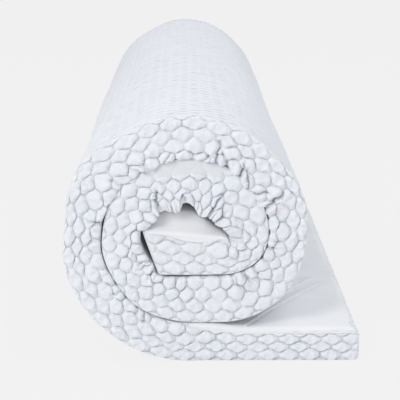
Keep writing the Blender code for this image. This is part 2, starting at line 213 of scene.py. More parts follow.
def thickness_table():
    """The slab's thickness along the line, as in the part."""
    along = np.linspace(0.0, LINE_LENGTH, PATH_SAMPLES)
    points = np.stack(on_line(along)[:2], axis=-1)
    head_height = SLAB_THICKNESS * (1 + SWELL_SHARE)
    head_end = np.outer(np.linspace(0.0, 1.0, HEAD_SAMPLES), (-HEAD_SLANT, head_height))
    behind = np.concatenate([points, head_end])
    behind_along = np.concatenate([along, np.zeros(HEAD_SAMPLES)])
    apart = np.hypot(*(points[:, None] - behind[None]).transpose(2, 0, 1))
    one_turn_back = math.pi * QUARTER_RADIUS_SHARES[0] * SLAB_THICKNESS
    apart[behind_along[None] > along[:, None] - one_turn_back] = np.inf
    room = apart.min(axis=1) - TURN_GAP
    swollen = np.full(PATH_SAMPLES, head_height)
    swollen[along > TAIL_START + TAIL_SETTLE_LENGTH] = SLAB_THICKNESS
    fold = np.full(PATH_SAMPLES, np.inf)
    for (length, radius), start in zip(RUNS, STARTS):
        if radius:
            inside = (along >= start[0]) & (along <= start[0] + length)
            fold[inside] = radius - LEAST_FOLD_RADIUS
            swollen[inside] += CROWDING_SHARE * SLAB_THICKNESS**2 / radius
    most = np.minimum(np.minimum(room, swollen), fold)
    half = max(1, round(SLAB_THICKNESS / 2 / (along[1] - along[0])))
    return along, window_of(window_of(most, half, np.min), half, np.mean)


THICKNESS_AT, THICKNESS = thickness_table()
LINE_X, LINE_Z, _ = on_line(THICKNESS_AT)
MIDDLE = (LINE_X.min() + LINE_X.max()) / 2
FLOOR = LINE_Z.min()
FOOT_X = LINE_X.max() - MIDDLE


def thickness(along):
    """The slab's thickness at lengths along the line."""
    return np.interp(along, THICKNESS_AT, THICKNESS)


def bend_at(along):
    """How sharply the line bends, 0 on the straights and 1 at the tightest arc, with soft changes."""
    index = np.clip(np.searchsorted(STARTS[:, 0], THICKNESS_AT, side="right") - 1, 0, len(RUNS) - 1)
    radius = RUNS[index, 1]
    bend = np.where(radius > 0, SLAB_THICKNESS / np.where(radius > 0, radius, 1.0), 0.0)
    half = round(BEND_SOFTNESS * SLAB_THICKNESS / (THICKNESS_AT[1] - THICKNESS_AT[0]))
    return np.interp(along, THICKNESS_AT, window_of(bend, half, np.mean))


MOST_SAG = 0.0022
SAG_SIZE = 0.11


def wound(along, depth, y):
    """Places in the strip as points in the part's frame.

    The head's end leans with the depth, and the turns sag a little out of true, except near the floor
    and in the tail.
    """
    along, depth, y = np.broadcast_arrays(np.asarray(along, float), depth, y)
    x, z, heading = on_line(along)
    lean = HEAD_SLANT * np.maximum(0.0, 1 - along / TONGUE_LENGTH) * depth / thickness(along)
    x = x - lean * np.cos(heading) - depth * np.sin(heading) - MIDDLE
    z = z - lean * np.sin(heading) + depth * np.cos(heading) - FLOOR
    before_tail = 1 - smooth_step(TAIL_START - 0.10, TAIL_START + 0.05, along)
    sag = MOST_SAG * smooth_step(0.02, 0.09, z) * before_tail
    across, up, far = x / SAG_SIZE, z / SAG_SIZE, 0.10 * np.abs(y) / SAG_SIZE
    x = x + sag * wobble(across + far, up, 1.0, 41)
    z = z + sag * wobble(across - far, up + far, 1.0, 42)
    return np.stack([x, y, z], axis=-1)


# The quilting's cells along the line: stretched a little on the outside of the bends

MOST_STRETCH = 1.17
INNER_TURN_CLOTH = 0.16
CELL_PITCH = 0.0295
SIDE_SHARE = 0.30
STRAIGHTNESS = 0.20
# How far apart the stitched lines stay where an edge of the sheet cuts them off, as a share of a row
EDGE_STEP = 0.03
CELLS_PER_STEP = 6
TAIL_END_CELL_SHARE = 1 / 3


def cell_table():
    """The count of cells at lengths along the line, counted from the head's end."""
    along = THICKNESS_AT
    bend = bend_at(along) / SLAB_THICKNESS
    stretch = np.minimum(MOST_STRETCH, 1 / np.maximum(1 - bend * SLAB_THICKNESS / 2, 0.2))
    middle = (along[1:] + along[:-1]) / 2
    # The inner turns' cells are stretched less
    inner = smooth_step(0.18, 0.26, middle) * (1 - smooth_step(0.74, 0.95, middle))
    fabric = np.diff(along) / np.interp(middle, along, stretch) * (1 + INNER_TURN_CLOTH * inner)
    cells = np.concatenate([[0.0], np.cumsum(fabric)]) / CELL_PITCH
    count = round(cells[-1] * CELLS_PER_STEP) / CELLS_PER_STEP
    return cells * count / cells[-1], count


CELLS, CELL_COUNT = cell_table()
FIRST_CELL = (TAIL_END_CELL_SHARE - CELL_COUNT) % 1.0


def along_at(cells):
    """The length along the line of a place counted in cells from the head's end."""
    return np.interp(cells, CELLS, THICKNESS_AT)


# Geometry Nodes


def new_tree(name, inputs):
    """A geometry tree with its named inputs and their defaults: the tree, what its inputs give, and its end."""
    tree = bpy.data.node_groups.new(name, "GeometryNodeTree")
    for side in ("INPUT", "OUTPUT"):
        tree.interface.new_socket("Geometry", in_out=side, socket_type="NodeSocketGeometry")
    for label, default in inputs.items():
        kind = "NodeSocketInt" if isinstance(default, int) else "NodeSocketFloat"
        tree.interface.new_socket(label, in_out="INPUT", socket_type=kind).default_value = default
    tree.interface.new_socket("Material", in_out="INPUT", socket_type="NodeSocketMaterial")
    given, result = add_node(tree, "NodeGroupInput"), add_node(tree, "NodeGroupOutput")
    return tree, given.outputs, result


def end_tree(tree, get, result, geometry):
    """The tree, ended: instances made real, and all of it given the material."""
    real = add_node(tree, "GeometryNodeRealizeInstances", geometry)
    painted = add_node(tree, "GeometryNodeSetMaterial", {"Geometry": real, "Material": get["Material"]})
    set_inputs(tree, result, {0: painted})
    return tree


def run_tree(tree, values, mesh=None):
    """What the tree makes with these inputs, as a plain mesh."""
    holder = bpy.data.objects.new(tree.name, mesh or bpy.data.meshes.new(tree.name))
    bpy.context.scene.collection.objects.link(holder)
    modifier = holder.modifiers.new(tree.name, "NODES")
    modifier.node_group = tree
    for item in tree.interface.items_tree:
        if item.in_out == "INPUT" and item.name in values:
            modifier[item.identifier] = values[item.name]
    bpy.context.view_layer.update()
    graph = bpy.context.evaluated_depsgraph_get()
    made = bpy.data.meshes.new_from_object(holder.evaluated_get(graph))
    bpy.data.objects.remove(holder, do_unlink=True)
    return made


def stitched_wave(tree, along, reach):
    """How far a stitched line swings, reach at most: a cosine over each cell, drawn a little straighter."""
    wave = add_node(tree, "COSINE", add_node(tree, "MULTIPLY", along, 2 * math.pi))
    slant = add_node(tree, "MULTIPLY", add_node(tree, "ARCSINE", wave), STRAIGHTNESS * 2 / math.pi)
    wave = add_node(tree, "MULTIPLY_ADD", wave, 1 - STRAIGHTNESS, slant)
    return add_node(tree, "MULTIPLY", wave, reach)


def quilting_tree():
    """A flat quilted sheet of ogee cells, brick-laid: x in metres along, y in metres across, z the puffs."""
    if "quilted sheet" in bpy.data.node_groups:
        return bpy.data.node_groups["quilted sheet"]
    inputs = {
        "Cells": 8.0, "Rows": 4, "First Cell": 0.0, "Faces per Cell": 12, "Faces per Row": 6,
        "Low Edge": 0.0, "High Edge": 4.0, "Side Share": SIDE_SHARE, "Cell Pitch": 0.0295,
        "Row Height": 0.0111, "Puff Height": 0.004, "Side Power": 5.5, "Side Gap": 0.0,
        "Line Power": 2.2, "Unevenness": 0.15, "Seed": 1,
    }
    tree, get, result = new_tree("quilted sheet", inputs)
    add = functools.partial(add_node, tree)
    counts = []
    for count, faces in (("Cells", "Faces per Cell"), ("Rows", "Faces per Row")):
        edges = add("MULTIPLY", get[count], get[faces])
        points = add("ADD", edges, 1.5)
        counts.append(add("FunctionNodeFloatToInt", points, rounding_mode="FLOOR"))
    grid = add("GeometryNodeMeshGrid", get["Cells"], get["Rows"], *counts)
    flat = add("ShaderNodeSeparateXYZ", add("GeometryNodeInputPosition"))
    u = add("MULTIPLY_ADD", get["Cells"], 0.5, flat.outputs["X"])
    u = add("ADD", u, get["First Cell"])
    w = add("MULTIPLY_ADD", get["Rows"], 0.5, flat.outputs["Y"])
    # The row, and the share of it that lies below
    last = add("SUBTRACT", get["Rows"], 1.0)
    row = add("FLOOR", add("ADD", w, 0.001))
    row = add("MINIMUM", row, last)
    share = add("SUBTRACT", w, row)
    odd = add("FLOORED_MODULO", row, 2.0)
    sign = add("MULTIPLY_ADD", odd, -2.0, 1.0)
    # The row's two stitched lines, kept between the sheet's edges
    reach = add("SUBTRACT", 0.5, get["Side Share"])
    wave = add("MULTIPLY", stitched_wave(tree, u, reach), sign)
    ends = []
    for step, turned in ((0.0, 1.0), (1.0, -1.0)):
        line = add("ADD", row, step)
        waved = add("MULTIPLY_ADD", wave, turned, line)
        low = add("MULTIPLY_ADD", line, EDGE_STEP, get["Low Edge"])
        left = add("SUBTRACT", line, get["Rows"])
        high = add("MULTIPLY_ADD", left, EDGE_STEP, get["High Edge"])
        ends.append(add("MINIMUM", add("MAXIMUM", waved, low), high))
    tall = add("SUBTRACT", ends[1], ends[0])
    v = add("MULTIPLY_ADD", tall, share, ends[0])
    # The puff: a rounded bubble in each cell, and flat cloth where three cells meet
    shifted = add("MULTIPLY_ADD", odd, 0.5, u)
    side = add("MULTIPLY_ADD", add("PINGPONG", shifted, 0.5), -2.0, 1.0)
    full = add("SUBTRACT", 1.0, get["Side Gap"])
    side_power = add("POWER", add("DIVIDE", side, full), get["Side Power"])
    middle = add("ABSOLUTE", add("MULTIPLY_ADD", share, 2.0, -1.0))
    line_power = add("POWER", middle, get["Line Power"])
    left = add("SUBTRACT", add("SUBTRACT", 1.0, side_power), line_power)
    rise = add("POWER", add("MAXIMUM", left, 0.0), 0.5)
    puff = add("MULTIPLY", rise, add("MINIMUM", tall, 1.0))
    # Each cell's own fullness
    number = add("MULTIPLY_ADD", row, 997.0, add("FLOOR", shifted))
    number = add("FunctionNodeFloatToInt", number, rounding_mode="ROUND")
    least, most = (add(change, 1.0, get["Unevenness"]) for change in ("SUBTRACT", "ADD"))
    limits = {2: least, 3: most, "ID": number, "Seed": get["Seed"]}
    own = add("FunctionNodeRandomValue", limits, data_type="FLOAT")
    puff = add("MULTIPLY", puff, own.outputs[1])
    puff = add("MULTIPLY", puff, get["Puff Height"])
    out_x = add("MULTIPLY", u, get["Cell Pitch"])
    out_y = add("MULTIPLY", v, get["Row Height"])
    moved = add("ShaderNodeCombineXYZ", out_x, out_y, puff)
    # Marks the vertices that thread holds down
    sewn = (add("GREATER_THAN", edge, 0.999) for edge in (side, middle))
    held = {"Geometry": grid, "Name": "held", "Value": add("MAXIMUM", *sewn)}
    marked = add("GeometryNodeStoreNamedAttribute", held, data_type="FLOAT", domain="POINT")
    placed = add("GeometryNodeSetPosition", {"Geometry": marked, "Position": moved})
    return end_tree(tree, get, result, placed)


def quilting(cells, rows, low, high, row_height, puff, material, per_cell=12, per_row=6, first=0.0, **more):
    """The quilted sheet as arrays over its grid: cells along, rows across, its puffs and what is sewn."""
    values = {
        "Cells": float(cells), "Rows": rows, "First Cell": first, "Faces per Cell": per_cell,
        "Faces per Row": per_row, "Low Edge": low, "High Edge": high, "Cell Pitch": CELL_PITCH,
        "Row Height": row_height, "Puff Height": puff, "Material": material, **more,
    }
    mesh = run_tree(quilting_tree(), values)
    across = rows * per_row + 1
    points = points_of(mesh).astype(float).reshape(-1, across, 3)
    held = np.zeros(len(mesh.vertices), np.float32)
    mesh.attributes["held"].data.foreach_get("value", held)
    bpy.data.meshes.remove(mesh)
    return points[..., 0] / CELL_PITCH, points[..., 1] / row_height, points[..., 2], held.reshape(-1, across)


def stitch_tree():
    """Stitches laid end to end along a mesh's edges."""
    if "stitches" in bpy.data.node_groups:
        return bpy.data.node_groups["stitches"]
    inputs = {"Stitch Length": 0.0034, "Stitch Step": 0.0042, "Thread Width": 0.0010}
    tree, get, result = new_tree("stitches", inputs)
    add = functools.partial(add_node, tree)
    curve = add("GeometryNodeMeshToCurve", get["Geometry"])
    step = {"Curve": curve, "Length": get["Stitch Step"]}
    even = add("GeometryNodeResampleCurve", step, mode="LENGTH")
    tangent = add("GeometryNodeInputTangent")
    turn = add("FunctionNodeAlignRotationToVector", {"Vector": tangent}, axis="X")
    bead = add("GeometryNodeMeshIcoSphere", {"Radius": 0.5, "Subdivisions": 1})
    width = get["Thread Width"]
    size = add("ShaderNodeCombineXYZ", get["Stitch Length"], width, width)
    stitch = {"Points": even, "Instance": bead, "Rotation": turn, "Scale": size}
    return end_tree(tree, get, result, add("GeometryNodeInstanceOnPoints", stitch))


def teeth_tree():
    """One row of a zip's nylon coil: a loop of round wire at each point of the mesh it is given."""
    if "zip teeth" in bpy.data.node_groups:
        return bpy.data.node_groups["zip teeth"]
    tree, get, result = new_tree("zip teeth", {"Width": 0.0026, "Thickness": 0.0018, "Wire": 0.0006})
    add = functools.partial(add_node, tree)
    thick, wide = (
        add("MULTIPLY", add("SUBTRACT", get[size], get["Wire"]), 0.5)
        for size in ("Thickness", "Width")
    )
    size = add("ShaderNodeCombineXYZ", thick, wide, 1.0)
    stood = add("ShaderNodeCombineXYZ", math.pi / 2)
    loop = add("GeometryNodeCurvePrimitiveCircle", {"Resolution": 8, "Radius": 1.0})
    loop = add("GeometryNodeTransform", {"Geometry": loop, "Scale": size})
    loop = add("GeometryNodeTransform", {"Geometry": loop, "Rotation": stood})
    half = add("MULTIPLY", get["Wire"], 0.5)
    wire = add("GeometryNodeCurvePrimitiveCircle", {"Resolution": 4, "Radius": half})
    tooth = add("GeometryNodeCurveToMesh", {"Curve": loop, "Profile Curve": wire})
    laid = add("GeometryNodeInstanceOnPoints", {"Points": get["Geometry"], "Instance": tooth})
    return end_tree(tree, get, result, laid)


# Meshes from grids


SHARP_ANGLE = math.radians(75)


def quads_of(index):
    """The quads of a grid of vertex numbers."""
    return np.stack([index[:-1, :-1], index[1:, :-1], index[1:, 1:], index[:-1, 1:]], axis=-1).reshape(-1, 4)


def closed_grid(name, front, back, uv, material, rise=None):
    """A closed mesh: a front grid, a back grid of as many columns and two or more rows, and walls between."""
    columns, rows = front.shape[:2]
    back_rows = back.shape[1]
    front_index = np.arange(columns * rows).reshape(columns, rows)
    back_index = columns * rows + np.arange(columns * back_rows).reshape(columns, back_rows)
    points = np.concatenate([front.reshape(-1, 3), back.reshape(-1, 3)])
    groups = [quads_of(front_index), quads_of(back_index)[:, ::-1]]
    for side, turn in ((0, -1), (-1, 1)):
        groups.append(quads_of(np.stack([front_index[:, side], back_index[:, side]], axis=1))[:, ::turn])
    for side, turn in ((0, 1), (-1, -1)):
        groups.append(np.concatenate([front_index[side], back_index[side][::-1]])[None, ::turn])
    # The faces are turned round if together they hold less than nothing
    fans = [group[:, [0, k, k + 1]] for group in groups for k in range(1, group.shape[1] - 1)]
    a, b, c = points[np.concatenate(fans)].transpose(1, 0, 2)
    turn = -1 if np.einsum("ij,ij->", a, np.cross(b, c)) < 0 else 1
    mesh = bpy.data.meshes.new(name)
    mesh.from_pydata(points.tolist(), [], [face for group in groups for face in group[:, ::turn].tolist()])
    mesh.materials.append(material)
    if uv is not None:
        back_uv = uv[:, np.linspace(0, rows - 1, back_rows).round().astype(int)]
        all_uv = np.concatenate([uv.reshape(-1, 2), back_uv.reshape(-1, 2)])
        corners = np.zeros(len(mesh.loops), np.int32)
        mesh.loops.foreach_get("vertex_index", corners)
        layer = mesh.uv_layers.new(name="quilt")
        layer.data.foreach_set("uv", all_uv[corners].astype(np.float32).ravel())
    if rise is not None:
        values = np.zeros(len(points), np.float32)
        values[: columns * rows] = rise.ravel()
        mesh.attributes.new("rise", "FLOAT", "POINT").data.foreach_set("value", values)
    mesh.polygons.foreach_set("use_smooth", np.ones(len(mesh.polygons), bool))
    mesh.set_sharp_from_angle(angle=SHARP_ANGLE)
    mesh.update()
    return mesh


FAR_SWELL = 0.014
NEAR_SWELL = 0.006


def swelled(mesh):
    """The roll is wound a little looser on its left: low at its far end, and at the shoulder in front."""
    points = points_of(mesh)
    left, y, z = -points[:, 0], points[:, 1], points[:, 2]
    far = smooth_step(-0.60, 0.55, y) * smooth_step(0.05, 0.20, left) * (1 - smooth_step(0.19, 0.30, z))
    near = (1 - smooth_step(-0.60, -0.10, y)) * smooth_step(0.11, 0.17, left) * smooth_step(0.18, 0.26, z)
    points[:, 0] -= FAR_SWELL * far + NEAR_SWELL * near
    mesh.vertices.foreach_set("co", points.ravel())
    mesh.update()
    return mesh


def new_piece(name, mesh, slot, *nodes):
    """Puts a mesh in the scene as a piece that rides on the topper's body and stands for CAD nodes."""
    obj = bpy.data.objects.new(name, swelled(mesh))
    bpy.context.scene.collection.objects.link(obj)
    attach(obj, BODY)
    if nodes:
        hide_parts(*nodes)
    return obj


def edges_mesh(name, points, edges):
    """A mesh of points and edges alone."""
    mesh = bpy.data.meshes.new(name)
    mesh.from_pydata(np.asarray(points).tolist(), [tuple(edge) for edge in edges], [])
    return mesh


# Materials


def new_material(name):
    material = bpy.data.materials.new(name)
    material.use_nodes = True
    tree = material.node_tree
    return material, tree, tree.nodes["Principled BSDF"]


# Kinds of node that come up often, and the setting that rounds a map's ends
MAP = "ShaderNodeMapRange"
NOISE = "ShaderNodeTexNoise"
SOFT = {"interpolation_type": "SMOOTHSTEP"}


def relief(tree, place, loop, chaos, dent, detail, fine, soft):
    """A cloth's normal: fine loops or threads a real size apart, over softer dents.

    Fine and soft are each a strength and a depth.
    """
    loops = add_node(tree, "ShaderNodeTexVoronoi", {"Vector": place, "Scale": 1 / loop, "Randomness": chaos})
    dents = add_node(tree, NOISE, {"Vector": place, "Scale": 1 / dent, "Detail": detail})
    bump = add_node(tree, "ShaderNodeBump", {"Height": loops, "Strength": fine[0], "Distance": fine[1]})
    over = {"Height": dents, "Strength": soft[0], "Distance": soft[1], "Normal": bump}
    return add_node(tree, "ShaderNodeBump", over)


def quilted_knit(
    finish, quilt, name="quilted polyester knit", row_height=None, valley=None, marks=(0.3, 0.9, 0.5), rim_shade=0.26
):
    """Brushed polyester knit, quilted with pale blue thread: soft, with a faint sheen and a blue-white cast.

    The thread's marks are the millimetres within which it shows fully and at all, and how much.
    """
    if name in bpy.data.materials:
        return bpy.data.materials[name]
    row_height = row_height or quilt.row_height
    material, tree, shader = new_material(name)
    add = functools.partial(add_node, tree)
    flat = add("ShaderNodeSeparateXYZ", add("ShaderNodeUVMap", uv_map="quilt"))
    u, v = flat.outputs["X"], flat.outputs["Y"]
    # How far the nearest thread is: a waved line between two rows, or a side between two cells of a row
    wave = stitched_wave(tree, u, 0.5 - SIDE_SHARE)
    down = add("SUBTRACT", v, wave)
    up = add("ADD", add("ADD", v, wave), 1.0)
    lines = (add("PINGPONG", line, 1.0) for line in (down, up))
    apart = add("MULTIPLY", add("MINIMUM", *lines), row_height)
    for shift in (0.0, 1.0):
        beside = add("PINGPONG", add("ADD", u, -shift / 2), 0.5)
        beside = add("MULTIPLY", beside, CELL_PITCH)
        off = add("PINGPONG", add("ADD", v, -0.5 - shift), 1.0)
        off = add("MULTIPLY", add("ADD", off, -SIDE_SHARE), row_height)
        # The thread is drawn tightest, and so shows most, between two cells of a row
        side = add("MULTIPLY", add("MAXIMUM", beside, off), 0.5)
        apart = add("MINIMUM", apart, side)
    near, far, strength = marks
    thread = add(MAP, apart, near * MM, far * MM, strength, 0.0, **SOFT)
    rise = add("ShaderNodeAttribute", attribute_name="rise").outputs["Fac"]
    # Plain strips, where the rise is marked below nought, show no thread
    sewn = add(MAP, rise, -0.3, -0.05)
    thread = add("MULTIPLY", thread, sewn)
    place = add("ShaderNodeTexCoord").outputs["Object"]
    patches, tint, uneven = (
        add(NOISE, {"Vector": place, "Scale": scale, "Detail": detail})
        for scale, detail in ((60.0, 2.0), (38.0, 1.0), (95.0, 1.0))
    )
    # Most of the thread lies hidden in the pile, so it shows here and there
    bare = add(MAP, patches, 0.42, 0.66, 0.12, 1.0, **SOFT)
    thread = add("MULTIPLY", thread, bare)
    # Painted shade: a grey band round the foot of each bubble, stronger in some places than in others
    foot_shade = add("ABSOLUTE", add("ADD", rise, -0.20))
    foot_shade = add(MAP, foot_shade, 0.0, 0.20, rim_shade, 0.0)
    foot_shade = add("MULTIPLY", foot_shade, add(MAP, uneven, 0.40, 0.64))
    # The knit turns pinker or bluer cell to cell. Painted shade: the cells are a little bluer and darker than
    # the flat cloth between them, unless a darker groove tone is given for that cloth, and the plain strips are
    # painted greyer
    raised = add(MAP, rise, 0.1, 0.75, **SOFT)
    colour = (*finish.knit, 1)
    for share, other, over in (
        (tint, finish.knit_warm, True), (raised, valley or finish.valley, False), (sewn, finish.strip, False),
        (foot_shade, finish.rim_shade, True), (thread, finish.thread, True),
    ):
        low, high = (colour, (*other, 1)) if over else ((*other, 1), colour)
        colour = add("ShaderNodeMix", {0: share, 6: low, 7: high}, data_type="RGBA").outputs[2]
    # Knit loops 1.2 mm apart, and the soft dents of the filling behind them
    normal = relief(tree, place, 1.2 * MM, 0.35, 9 * MM, 2.0, (0.25, 0.25 * MM), (0.12, 1.6 * MM))
    rough = add(MAP, tint, 0.0, 1.0, 0.82, 0.95)
    looks = {"Base Color": colour, "Normal": normal, "Roughness": rough}
    set_inputs(tree, shader, {**looks, "Sheen Weight": 0.15, "Specular IOR Level": 0.2})
    return material


def cloth_material(name, colour, warm, loop, dent, roughness, sheen):
    """A knit, woven or felted cloth: loops or threads some millimetres apart over soft dents."""
    if name in bpy.data.materials:
        return bpy.data.materials[name]
    material, tree, shader = new_material(name)
    add = functools.partial(add_node, tree)
    loop, dent = loop * MM, dent * MM
    place = add("ShaderNodeTexCoord").outputs["Object"]
    tint = add(NOISE, {"Vector": place, "Scale": 22.0, "Detail": 2.0})
    mixed = add("ShaderNodeMix", {0: tint, 6: (*colour, 1), 7: (*warm, 1)}, data_type="RGBA")
    normal = relief(tree, place, loop, 0.4, dent, 3.0, (0.3, loop / 4), (0.3, dent / 8))
    rough = add(MAP, tint, 0.0, 1.0, roughness - 0.06, roughness + 0.05)
    looks = {"Base Color": mixed.outputs[2], "Normal": normal, "Roughness": rough}
    set_inputs(tree, shader, {**looks, "Sheen Weight": sheen, "Specular IOR Level": 0.2})
    return material


def metal_material(finish):
    """Die-cast zinc, nickel plated: a grey metal, softly bright, with rub marks."""
    if "nickel plated zinc" in bpy.data.materials:
        return bpy.data.materials["nickel plated zinc"]
    material, tree, shader = new_material("nickel plated zinc")
    add = functools.partial(add_node, tree)
    place = add("ShaderNodeTexCoord").outputs["Object"]
    rubbed = add(NOISE, {"Vector": place, "Scale": 900.0, "Detail": 4.0})
    rough = add(MAP, rubbed, 0.0, 1.0, 0.22, 0.42)
    bump = add("ShaderNodeBump", {"Height": rubbed, "Strength": 0.2, "Distance": 0.05 * MM})
    looks = {"Roughness": rough, "Normal": bump, "Base Color": (*finish.zip_metal, 1), "Metallic": 1.0}
    set_inputs(tree, shader, looks)
    return material


# What a user would change


def length_property(label, about, size):
    return bpy.props.FloatProperty(name=label, description=about, default=size, unit="LENGTH")


def colour_property(label, about, hex_code):
    default = linear(hex_code)
    return bpy.props.FloatVectorProperty(name=label, description=about, subtype="COLOR", default=default)


class QuiltSizes(bpy.types.PropertyGroup):
    """Sizes of the quilting."""

    row_height: length_property("Row height", "Distance between two rows of cells", 0.0119)
    border_puff: length_property("Border puff", "How far a cell of the side borders stands up", 0.0050)
    panel_puff: length_property("Panel puff", "How far a cell of the quilted side stands up", 0.0037)
    thread_width: length_property("Thread width", "Width of the quilting thread", 0.0004)


class Finishes(bpy.types.PropertyGroup):
    """Colours of the cloths, the thread, the foam and the zip, and the painted shades of the quilted knit."""

    knit: colour_property("Quilted knit", "Cool tone of the knit", "#E9EDF4")
    knit_warm: colour_property("Quilted knit, warm", "Warm tone of the knit", "#EFEFF4")
    # Painted shade: the cells are painted darker and bluer than this lighter tone of the flat cloth between
    # them
    valley: colour_property("Valley", "Tone of the knit between the cells", "#F1F3F5")
    # Painted shade on the strips without cells, as the turn outside shades them
    strip: colour_property("Strip", "Tone of the strips without quilting", "#E4E7EB")
    # Painted shade in the grooves of the wide side
    groove: colour_property("Groove", "Tone of the wide side's grooves", "#C6CDD8")
    thread: colour_property("Thread", "Quilting thread", "#9DB3C6")
    plain: colour_property("Plain knit", "Smooth side of the cover", "#F6F6F8")
    foam: colour_property("Foam", "Memory foam", "#EFE9D2")
    # Painted shade round the foot of each bubble
    rim_shade: colour_property("Rim", "Trodden pile round each bubble", "#A3A9B2")
    zip_metal: colour_property("Zip metal", "Slider and pull", "#B9BBBF")


class StudioSettings(bpy.types.PropertyGroup):
    """The background and the lights."""

    background: colour_property("Background", "Colour of the floor in the picture", "#F2F2F2")
    sky_level: bpy.props.FloatProperty(name="Sky level", description="Light from all round", default=0.57)
    key_level: bpy.props.FloatProperty(
        name="Key level", description="Power of the large lamp at the front and left", default=46.0
    )


# Pieces


BORDER_BASE = 0.7592
BORDER_BACK_END = 0.7539
OUTER_ROUND = 0.0026
INNER_ROUND = 0.0030
BORDER_ROWS = 5
BORDER_LOW_EDGE = 0.79
BORDER_HIGH_EDGE = 4.98
HEM_SHARE = 0.81
TAIL_HEM_START = 0.030
PUFF_FADE = 0.007
MOST_SHIFT_ALONG = 0.0060
MOST_SHIFT_INWARDS = 0.0050
MOST_SWING = 0.0030
BARE_STRIP = 0.0098
FLOOR_GAP = 0.0002

# How far the lapped cloth comes down the tongue, as shares of the thickness along it
TONGUE_HEMS = (
    (0.0, 0.06), (0.012, 0.11), (0.03, 0.14), (0.045, 0.23), (0.062, 0.25), (0.08, 0.15), (0.094, 0.05),
    (0.105, 0.0),
)

# How far the slab's inner side hangs past its smooth line on the front edge: length along, and millimetres
HANGS = (
    (0.0, 8.0), (0.03, 5.5), (0.05, 5.0), (0.07, 5.5), (0.09, 5.0), (0.1, 1.5), (0.11, 0.5), (0.2, 0.5),
    (0.24, 0.0), (0.27, 0.5), (0.28, 2.0), (0.3, 4.5), (0.32, 8.5), (0.33, 8.5), (0.34, 7.0),
    (0.35, 5.5), (0.358, 3.5), (0.364, 3.0), (0.37, 8.0), (0.376, 13.0), (0.39, 11.5), (0.4, 7.8),
    (0.41, 4.0), (0.42, 0.0), (0.43, -4.5), (0.438, -11.0), (0.444, -9.0), (0.45, 0.0), (0.46, 4.5),
    (0.47, 8.0), (0.48, 9.5), (0.5, 9.0), (0.51, 6.0), (0.518, 0.0), (0.526, -4.5), (0.55, -3.0),
    (0.58, 0.0), (0.6, 4.0), (0.62, 8.0), (0.64, 5.0), (0.65, 1.5), (0.66, 3.5), (0.67, 6.0),
    (0.69, 8.5), (0.71, 7.5), (0.73, 5.5), (0.78, 5.0), (0.8, 4.0), (0.85, 2.5), (0.9, 2.0), (1.0, 3.5),
    (1.036, 1.5), (1.05, 6.5), (1.068, 7.5), (1.078, 5.0), (1.086, 9.0), (1.104, 8.0), (1.116, 3.0),
    (1.132, 5.5), (1.147, 1.5), (1.16, 5.0), (1.176, 2.5), (1.19, 6.0), (1.204, 4.0), (1.22, 4.5),
    (1.24, 3.6), (1.26, 4.4), (1.28, 3.5), (1.3, 5.0), (1.32, 7.5), (1.338, 2.5), (1.36, 6.0),
    (1.38, 2.5), (1.4, 5.0), (1.425, 4.0), (1.44, 2.5), (1.466, -0.5), (1.5, 1.0), (1.56, 1.0),
    (1.62, 3.0), (1.68, 2.0), (1.74, 0.0), (2.022, 0.0),
)

# Where the bunched cloth creases: length along at the inner edge, lean towards the outer edge, the share of the
# thickness where it dies out, and millimetres deep
CREASES = (
    (0.286, 0.0, 0.5, 7.0), (0.364, 0.01, 0.72, 6.0), (0.44, -0.03, 0.42, 7.0), (0.602, 0.01, 0.7, 4.0),
    (0.618, -0.01, 0.62, 4.0), (0.634, 0.02, 0.66, 4.0), (0.822, 0.01, 0.7, 4.0),
    (0.846, 0.012, 0.68, 6.0), (0.874, -0.01, 0.7, 4.5), (1.036, 0.02, 0.5, 9.0),
    (1.075, -0.06, 0.72, 6.0), (1.079, 0.15, 0.74, 6.0), (1.116, 0.03, 0.62, 5.0),
    (1.147, 0.08, 0.66, 5.0), (1.176, 0.01, 0.45, 7.5), (1.204, -0.06, 0.7, 4.0),
    (1.288, -0.12, 0.74, 4.0), (1.338, 0.03, 0.68, 4.0), (1.382, 0.01, 0.66, 4.0),
    (1.468, 0.0, 0.5, 5.0), (1.503, 0.03, 0.7, 4.0), (1.622, -0.02, 0.68, 4.0), (1.69, 0.02, 0.7, 4.5),
)
RANDOM_CREASES = 26
CREASE_WIDTH = 0.0024
BANK_PLACE = 0.0085
BANK_WIDTH = 0.0050


def hem_share(along):
    """Where the plain side's cloth, lapped over the edge, ends on the border, as a share of the thickness."""
    tongue = np.interp(along, *zip(*TONGUE_HEMS))
    tail = (1 - HEM_SHARE) * smooth_step(TAIL_START - TAIL_HEM_START, TAIL_START + TAIL_HEM_START, along)
    lapped = tongue + tail
    return 1.03 - 0.03 * np.clip(lapped / 0.05, 0.0, 1.0) - lapped


def rounding(apart, radius):
    """How far a rounded edge falls back, at a distance from the edge."""
    near = np.clip(radius - apart, 0.0, radius)
    return radius - np.sqrt(np.maximum(radius**2 - near**2, 0.0))


TAIL_END_ROUND = 0.014
FLOOR_ROUND = 0.0065


def rounded_end(along, depth, thick):
    """Places along the roll, drawn back at the tail's end so that its two corners are round."""
    last = np.clip((along - LINE_LENGTH) / 0.022 + 1, 0.0, 1.0)
    return along - last * (rounding(depth, FLOOR_ROUND) + rounding(thick - depth, TAIL_END_ROUND))


def hang_table():
    """The hang of the inner side over the whole line, in metres, with its corners rounded."""
    places, hangs = zip(*HANGS)
    hang = np.interp(THICKNESS_AT, places, hangs) * MM
    return np.convolve(np.pad(hang, 1, mode="edge"), (0.25, 0.5, 0.25), mode="valid")


HANG = hang_table()


def hang_at(along):
    """How far the inner side hangs past the slab's smooth line, on the front edge."""
    return np.interp(along, THICKNESS_AT, HANG)


def overhang_at(along):
    """How far the inner side leans out over the next turn."""
    return np.maximum(hang_at(along) - TURN_GAP, 0.0) * smooth_step(0.86, 0.92, along)


